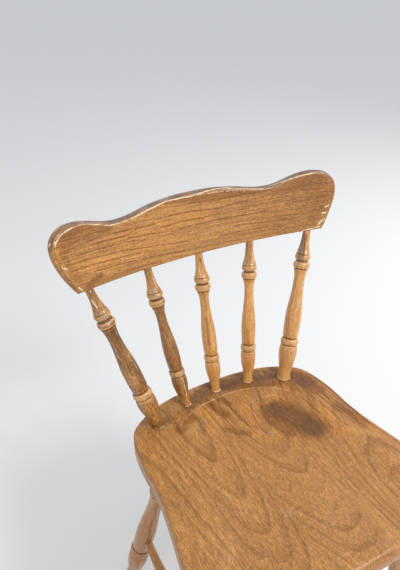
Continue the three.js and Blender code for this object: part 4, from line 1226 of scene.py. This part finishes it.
def mark_rail(rail):
    paint_marks(rail, RAIL_MARKS)
    for line in RAIL_LINES:
        rail.paint("stain_and_shade", line, RAIL_LINE_MM)
        rail.paint("grime_and_shade", line, RAIL_LINE_MM, RAIL_LINE_GRIME)
    for pixels, width_mm, depth_mm in RAIL_CHIPS:
        rail.chip(pixels, width_mm, depth_mm)


def mark_seat(seat):
    paint_marks(seat, SEAT_MARKS)
    for line in SEAT_LINES:
        seat.paint("stain_and_shade", line, SEAT_LINE_MM)
        seat.paint("grime_and_shade", line, SEAT_LINE_MM, SEAT_LINE_GRIME)


def mark_spindle(surface, node):
    above_seat = (surface.points[:, 2] - SEAT_TOP) / MM
    uneven = 1 + TONE_VARIES * lumps(surface.grain * TONE_SHAPE, TONE_SIZE, seed=31)
    at_head = smooth(above_seat, HEAD_FROM_MM, HEAD_FULL_MM)
    uneven *= (1 - surface.masks["wear"]) * (1 - HEAD_WEAKER * at_head)
    # Each spindle's tone: partly its wood, partly painted shade on the left spindles and painted light on the
    # right ones
    for mask, strength in SPINDLE_TONES_AND_LIGHT[node]:
        surface.masks[mask] = np.maximum(surface.masks[mask], strength * uneven)
    paint_marks(surface, SPINDLE_MARKS[node])
    if node == "spindle_centre":
        surface.chip(NAIL_HOLE, NAIL_HOLE_MM, NAIL_DEPTH_MM, "grime_and_shade")


# Materials

# Noises in the wood and in its finish: scale, stretch and detail
SWAY_NOISE, CLOUD_NOISE = (14, (1, 1, 0.22), 2), (22, (1, 1, 0.3), 3)
FIBRE_NOISE, PORE_NOISE = (560, (1, 1, 0.035), 4), (1000, (1, 1, 0.16), 1)
FLECK_NOISE, FINE_NOISE = (900, (1, 1, 0.42), 1), (900, (1, 1, 1), 2)
SPECKLE_NOISE, ALONG_NOISE, DIM_NOISE = (260, (1, 1, 1), 3), (420, (1, 1, 0.12), 2), (24, (1, 1, 1), 2)

# Growth rings: latewood's rise and end within a year, how strong years are, and their slow tone
LATEWOOD_RISE, YEAR_END, YEAR_STRENGTH, YEAR_TONE_SCALE = (0.5, 0.94), (0.94, 1.0), (0.3, 1), 0.45

# Where pores and flecks start and are full, and how many pores early and late wood have
PORE_SPAN, FLECK_SPAN, PORES_BY_WOOD = (0.55, 0.7), (0.41, 0.59), (1, 0.35)

# How clouds, years, fibres, flecks and pores darken the wood, and their relief
CLOUD_SPAN, CLOUD_DEEP, YEAR_SPAN, YEAR_DEEP = (0.45, 0.75), 0.16, (0.4, 0.7), 0.2
FIBRE_SPAN, FIBRE_DEEP, FLECK_TONES = (0.3, 0.7), (0.8, 0.0), (0.6, 1.4)
PORE_COLOUR, PORE_COVER = (0.10, 0.045, 0.018, 1), 0.6
FIBRE_RELIEF, PORE_RELIEF = 0.25, 0.8

# How each mask breaks up: how far speckles shift it, and where it starts and is full
BREAKS = {
    "Wear": (0.9, 0.38, 0.95),
    "Grime_and_shade": (0.7, 0.15, 1.0),
    "Bare": (0.35, 0.38, 0.62),
    "Stain_and_shade": (0.5, 0.1, 0.95),
    "Haze_and_sheen": (0.6, 0.2, 1.0),
}
DIM_SPAN, DIM_STAIN = (0.55, 0.8), 0.22

# The masks' colours in the order they lie on the wood, how fully each covers it, and how
COVERS = {
    # Besides the wood's own colours these tints paint light: the pale ones painted highlights and light, the
    # dark ones painted shade, the bluish grey one painted sheen
    "Paler_and_lit": ((1.25, 1.2, 1.05, 1), 0.8, "MULTIPLY"),
    "Stain_and_shade": ((0.57, 0.455, 0.30, 1), 0.8, "MULTIPLY"),
    "Haze_and_sheen": ((0.34, 0.255, 0.215, 1), 0.62, "MIX"),
    "Wear": ((0.64, 0.42, 0.23, 1), 0.62, "MIX"),
    "Grime_and_shade": ((0.082, 0.037, 0.013, 1), 0.78, "MIX"),
    "Bare": ((0.76, 0.62, 0.46, 1), 0.85, "MIX"),
}

# The finish: roughness, coat and relief, and what wear, dirt and bare wood do to them
ROUGHNESS, RUBBED_ROUGHER, DIRT_ROUGHER = (0.24, 0.38), 0.25, 0.2
WORN_COAT_LOSS, DIRTY_COAT, FINE_RELIEF, BARE_SUNK = 0.7, (0.85, 0.3), 0.25, 0.6
COAT_ROUGHNESS, SPECULAR, BUMP_STRENGTH, BUMP_DISTANCE = (0.42, 0.08), 0.35, 0.35, 0.4 * MM

WOODS = {
    "rail_wood": dict(
        pale=(0.54, 0.262, 0.070, 1), deep=(0.225, 0.094, 0.025, 1),
        ring_width_mm=6.5, sway_mm=9, figure=0.5, flecking=0.5, gloss=0.38,
    ),
    "seat_wood": dict(
        pale=(0.52, 0.245, 0.067, 1), deep=(0.21, 0.085, 0.025, 1),
        ring_width_mm=7.5, sway_mm=12, figure=0.55, flecking=0.42, gloss=0.16,
    ),
    "spindle_wood": dict(
        pale=(0.69, 0.355, 0.106, 1), deep=(0.33, 0.142, 0.042, 1),
        ring_width_mm=3.2, sway_mm=3, figure=0.34, flecking=0.2, gloss=0.9,
    ),
    "leg_wood": dict(
        pale=(0.55, 0.25, 0.068, 1), deep=(0.25, 0.10, 0.03, 1),
        ring_width_mm=3.6, sway_mm=4, figure=0.55, flecking=0.3, gloss=0.6,
    ),
}


class Tree:
    """Adds nodes to a node tree. A socket or a plain value can feed any input."""

    def __init__(self, tree):
        self.tree = tree

    def add(self, kind, feeds=(), **settings):
        node = self.tree.nodes.new("ShaderNode" + kind)
        for name, value in settings.items():
            setattr(node, name, value)
        for key, value in dict(feeds).items():
            self.feed(node.inputs[key], value)
        return node

    def feed(self, socket, value):
        if isinstance(value, bpy.types.NodeSocket):
            self.tree.links.new(value, socket)
        else:
            socket.default_value = value

    def math(self, operation, a, b=0.0, clamp=False):
        return self.add("Math", {0: a, 1: b}, operation=operation, use_clamp=clamp).outputs[0]

    def vector(self, operation, a, b):
        return self.add("VectorMath", {0: a, 1: b}, operation=operation).outputs[0]

    def rise(self, value, low, high):
        """0 up to low and 1 from high on."""
        feeds = {"Value": value, "From Min": low, "From Max": high}
        return self.add("MapRange", feeds, interpolation_type="SMOOTHSTEP").outputs[0]

    def between(self, value, low, high):
        """Spreads 0..1 over low..high."""
        return self.add("MapRange", {"Value": value, "To Min": low, "To Max": high}).outputs[0]

    def mix(self, share, a, b, blend="MIX"):
        node = self.add("Mix", data_type="RGBA", blend_type=blend, clamp_factor=True)
        self.feed(node.inputs["Factor"], share)
        self.feed(node.inputs[6], a)
        self.feed(node.inputs[7], b)
        return node.outputs[2]

    def noise(self, place, scale, stretch=(1, 1, 1), detail=2.0, output="Fac"):
        place = self.vector("MULTIPLY", place, stretch)
        return self.add("TexNoise", {"Vector": place, "Scale": scale, "Detail": detail}).outputs[output]


def new_group(name, inputs, outputs):
    """A shader node group with named sockets; returns its Tree, its inputs and a way to end it."""
    kinds = {"float": "NodeSocketFloat", "colour": "NodeSocketColor", "vector": "NodeSocketVector"}
    group = bpy.data.node_groups.new(name, "ShaderNodeTree")
    for label, kind in inputs.items():
        group.interface.new_socket(name=label, in_out="INPUT", socket_type=kinds[kind])
    for label, kind in outputs.items():
        group.interface.new_socket(name=label, in_out="OUTPUT", socket_type=kinds[kind])
    given = group.nodes.new("NodeGroupInput").outputs
    result = group.nodes.new("NodeGroupOutput").inputs

    def end(**values):
        for label, value in values.items():
            tree.feed(result[label.replace("_", " ")], value)
        return group

    tree = Tree(group)
    return tree, given, end


def growth_rings():
    """Yearly rings about the pith, which lies along the grain's z at x = y = 0."""
    t, given, end = new_group(
        "growth_rings",
        {"Grain": "vector", "Ring Width": "float", "Sway": "float"},
        {"Latewood": "float", "Year Tone": "float"},
    )
    swayed = t.noise(given["Grain"], *SWAY_NOISE, output="Color")
    offset = t.vector("SUBTRACT", swayed, (0.5, 0.5, 0.5))
    offset = t.add("VectorMath", {0: offset, "Scale": given["Sway"]}, operation="SCALE").outputs[0]
    moved = t.vector("ADD", given["Grain"], offset)
    flat = t.vector("MULTIPLY", moved, (1, 1, 0))
    radius = t.add("VectorMath", {0: flat}, operation="LENGTH").outputs["Value"]
    years = t.math("DIVIDE", radius, given["Ring Width"])
    part = t.math("FRACT", years)
    ended = t.rise(part, *YEAR_END)
    late = t.math("MULTIPLY", t.rise(part, *LATEWOOD_RISE), t.math("SUBTRACT", 1, ended))
    year = t.add("TexWhiteNoise", {"W": t.math("FLOOR", years)}, noise_dimensions="1D").outputs["Value"]
    late = t.math("MULTIPLY", late, t.between(year, *YEAR_STRENGTH))
    slow = {"W": years, "Scale": YEAR_TONE_SCALE, "Detail": 2.0}
    tone = t.add("TexNoise", slow, noise_dimensions="1D").outputs["Fac"]
    return end(Latewood=late, Year_Tone=tone)


def open_pores():
    """Fine fibres and the short dark pores of an open-grained wood."""
    t, given, end = new_group(
        "open_pores",
        {"Grain": "vector", "Latewood": "float"},
        {"Fibre": "float", "Pores": "float", "Flecks": "float"},
    )
    fibre = t.noise(given["Grain"], *FIBRE_NOISE)
    pores = t.rise(t.noise(given["Grain"], *PORE_NOISE), *PORE_SPAN)
    pores = t.math("MULTIPLY", pores, t.between(given["Latewood"], *PORES_BY_WOOD))
    flecks = t.rise(t.noise(given["Grain"], *FLECK_NOISE), *FLECK_SPAN)
    return end(Fibre=fibre, Pores=pores, Flecks=flecks)


def stained_wood(rings, pores):
    """Stained wood: its colour and its relief."""
    t, given, end = new_group(
        "stained_wood",
        {"Grain": "vector", "Pale Colour": "colour", "Deep Colour": "colour", "Ring Width": "float",
         "Sway": "float", "Figure": "float", "Flecking": "float"},
        {"Colour": "colour", "Relief": "float"},
    )
    ring = t.add("Group", {label: given[label] for label in ("Grain", "Ring Width", "Sway")}, node_tree=rings)
    late = ring.outputs["Latewood"]
    pore = t.add("Group", {"Grain": given["Grain"], "Latewood": late}, node_tree=pores)
    cloud = t.rise(t.noise(given["Grain"], *CLOUD_NOISE), *CLOUD_SPAN)
    year = t.rise(ring.outputs["Year Tone"], *YEAR_SPAN)
    deep = t.math("MULTIPLY", late, given["Figure"])
    deep = t.math("ADD", deep, t.math("MULTIPLY", cloud, CLOUD_DEEP))
    deep = t.math("ADD", deep, t.math("MULTIPLY", year, YEAR_DEEP), clamp=True)
    colour = t.mix(deep, given["Pale Colour"], given["Deep Colour"])
    streak = t.rise(pore.outputs["Fibre"], *FIBRE_SPAN)
    fibrous = t.math("MULTIPLY", t.between(streak, *FIBRE_DEEP), given["Figure"])
    colour = t.mix(fibrous, colour, given["Deep Colour"], "MULTIPLY")
    colour = t.mix(given["Flecking"], colour, t.between(pore.outputs["Flecks"], *FLECK_TONES), "MULTIPLY")
    colour = t.mix(t.math("MULTIPLY", pore.outputs["Pores"], PORE_COVER), colour, PORE_COLOUR)
    sunk = t.math("MULTIPLY", pore.outputs["Pores"], PORE_RELIEF)
    relief = t.math("SUBTRACT", t.math("MULTIPLY", streak, FIBRE_RELIEF), sunk)
    return end(Colour=colour, Relief=relief)


def worn_finish_and_painted_light():
    """Worn varnish over wood: rubbed edges, dirt, stains and bare splinters, and painted shade, highlights
    and sheen.
    """
    t, given, end = new_group(
        "worn_finish_and_painted_light",
        {"Colour": "colour", "Relief": "float", "Grain": "vector", "Place": "vector", "Wear": "float",
         "Grime_and_shade": "float", "Bare": "float", "Stain_and_shade": "float", "Paler_and_lit": "float", "Haze_and_sheen": "float"},
        {"Colour": "colour", "Roughness": "float", "Coat": "float", "Relief": "float"},
    )
    coarse = t.noise(given["Place"], *SPECKLE_NOISE)
    along = t.noise(given["Grain"], *ALONG_NOISE)
    speckle = t.math("SUBTRACT", t.math("ADD", coarse, along), 1.0)
    amounts = {"Paler_and_lit": given["Paler_and_lit"]}
    for mask, (shift, low, high) in BREAKS.items():
        shifted = t.math("ADD", given[mask], t.math("MULTIPLY", speckle, shift))
        amounts[mask] = t.rise(shifted, low, high)
    dim = t.rise(t.noise(given["Place"], *DIM_NOISE), *DIM_SPAN)
    amounts["Stain_and_shade"] = t.math("ADD", amounts["Stain_and_shade"], t.math("MULTIPLY", dim, DIM_STAIN), clamp=True)
    colour = given["Colour"]
    for mask, (tint, cover, blend) in COVERS.items():
        colour = t.mix(t.math("MULTIPLY", amounts[mask], cover), colour, tint, blend)
    worn, dirt_and_shade, bare = amounts["Wear"], amounts["Grime_and_shade"], amounts["Bare"]
    rough = t.between(coarse, *ROUGHNESS)
    rough = t.math("ADD", rough, t.math("MULTIPLY", t.math("MAXIMUM", worn, bare), RUBBED_ROUGHER))
    rough = t.math("ADD", rough, t.math("MULTIPLY", dirt_and_shade, DIRT_ROUGHER), clamp=True)
    rubbed_off = t.math("MAXIMUM", t.math("MULTIPLY", worn, WORN_COAT_LOSS), bare)
    coat = t.math("SUBTRACT", 1, rubbed_off, clamp=True)
    coat = t.math("MULTIPLY", coat, t.between(dirt_and_shade, *DIRTY_COAT))
    fine = t.noise(given["Place"], *FINE_NOISE)
    relief = t.math("ADD", given["Relief"], t.math("MULTIPLY", fine, FINE_RELIEF))
    relief = t.math("SUBTRACT", relief, t.math("MULTIPLY", bare, BARE_SUNK))
    return end(Colour=colour, Roughness=rough, Coat=coat, Relief=relief)


def wood_material(name, groups, pale, deep, ring_width_mm, sway_mm, figure, flecking, gloss):
    material = bpy.data.materials.new(name)
    material.use_nodes = True
    t = Tree(material.node_tree)
    shader = material.node_tree.nodes["Principled BSDF"]
    grain = t.add("Attribute", attribute_name="grain").outputs["Vector"]
    place = t.add("TexCoord").outputs["Object"]
    wood = t.add("Group", {
        "Grain": grain, "Pale Colour": pale, "Deep Colour": deep, "Ring Width": ring_width_mm * MM,
        "Sway": sway_mm * MM, "Figure": figure, "Flecking": flecking,
    }, node_tree=groups["wood"])
    finish = t.add("Group", {
        "Colour": wood.outputs["Colour"], "Relief": wood.outputs["Relief"], "Grain": grain, "Place": place,
    }, node_tree=groups["finish"])
    for mask in MASKS:
        t.feed(finish.inputs[mask.capitalize()], t.add("Attribute", attribute_name=mask).outputs["Fac"])
    relief = {"Height": finish.outputs["Relief"], "Strength": BUMP_STRENGTH, "Distance": BUMP_DISTANCE}
    bump = t.add("Bump", relief)
    t.feed(shader.inputs["Base Color"], finish.outputs["Colour"])
    t.feed(shader.inputs["Roughness"], finish.outputs["Roughness"])
    t.feed(shader.inputs["Coat Weight"], t.math("MULTIPLY", finish.outputs["Coat"], gloss))
    t.feed(shader.inputs["Normal"], bump.outputs["Normal"])
    shader.inputs["Coat Roughness"].default_value = lerp(*COAT_ROUGHNESS, gloss)
    shader.inputs["Specular IOR Level"].default_value = SPECULAR
    return material


# Building the chair

SPINDLES = {
    "spindle_outer_left": dict(OUTER_SPINDLE, foot=WORN_FOOT_MM),
    "spindle_inner_left": INNER_SPINDLE,
    "spindle_centre": INNER_SPINDLE,
    "spindle_inner_right": INNER_SPINDLE,
    "spindle_outer_right": OUTER_SPINDLE,
}
LEGS = ("leg_front_left", "leg_front_right", "leg_rear_left", "leg_rear_right")
SPINDLE_SEED, GLUE_SEED, LEG_SEED, STRETCHER_SEED = 1, 40, 11, 21

groups = {"wood": stained_wood(growth_rings(), open_pores()), "finish": worn_finish_and_painted_light()}
woods = {name: wood_material(name, groups, **looks) for name, looks in WOODS.items()}

rail = rail_surface()
mark_rail(rail)
rail.to_piece("rail", woods["rail_wood"], "rail_wood", ["crest_rail"])
seat = seat_surface()
mark_seat(seat)
seat.to_piece("plank_seat", woods["seat_wood"], "seat_wood", ["seat"])
for seed, (node, radii) in enumerate(SPINDLES.items(), SPINDLE_SEED):
    surface = spindle_surface(node, radii, seed)
    mark_spindle(surface, node)
    surface.to_piece("turned_" + node, woods["spindle_wood"], "spindle_wood", [node])
    collar = collar_surface(node, radii["foot"], GLUE_SEED + seed)
    collar.to_piece("glue_" + node, woods["spindle_wood"], "spindle_wood", [])
for seed, node in enumerate(LEGS, LEG_SEED):
    leg_surface(node, seed).to_piece("turned_" + node, woods["leg_wood"], "leg_wood", [node])
for seed, (node, radii, short_mm) in enumerate((
    ("stretcher_left", SIDE_STRETCHER, SIDE_TENON_SHORT_MM),
    ("stretcher_right", SIDE_STRETCHER, SIDE_TENON_SHORT_MM),
    ("stretcher_cross", CROSS_STRETCHER, CROSS_TENON_SHORT_MM),
), STRETCHER_SEED):
    surface = stretcher_surface(node, radii, short_mm, seed)
    surface.to_piece("turned_" + node, woods["leg_wood"], "leg_wood", [node])
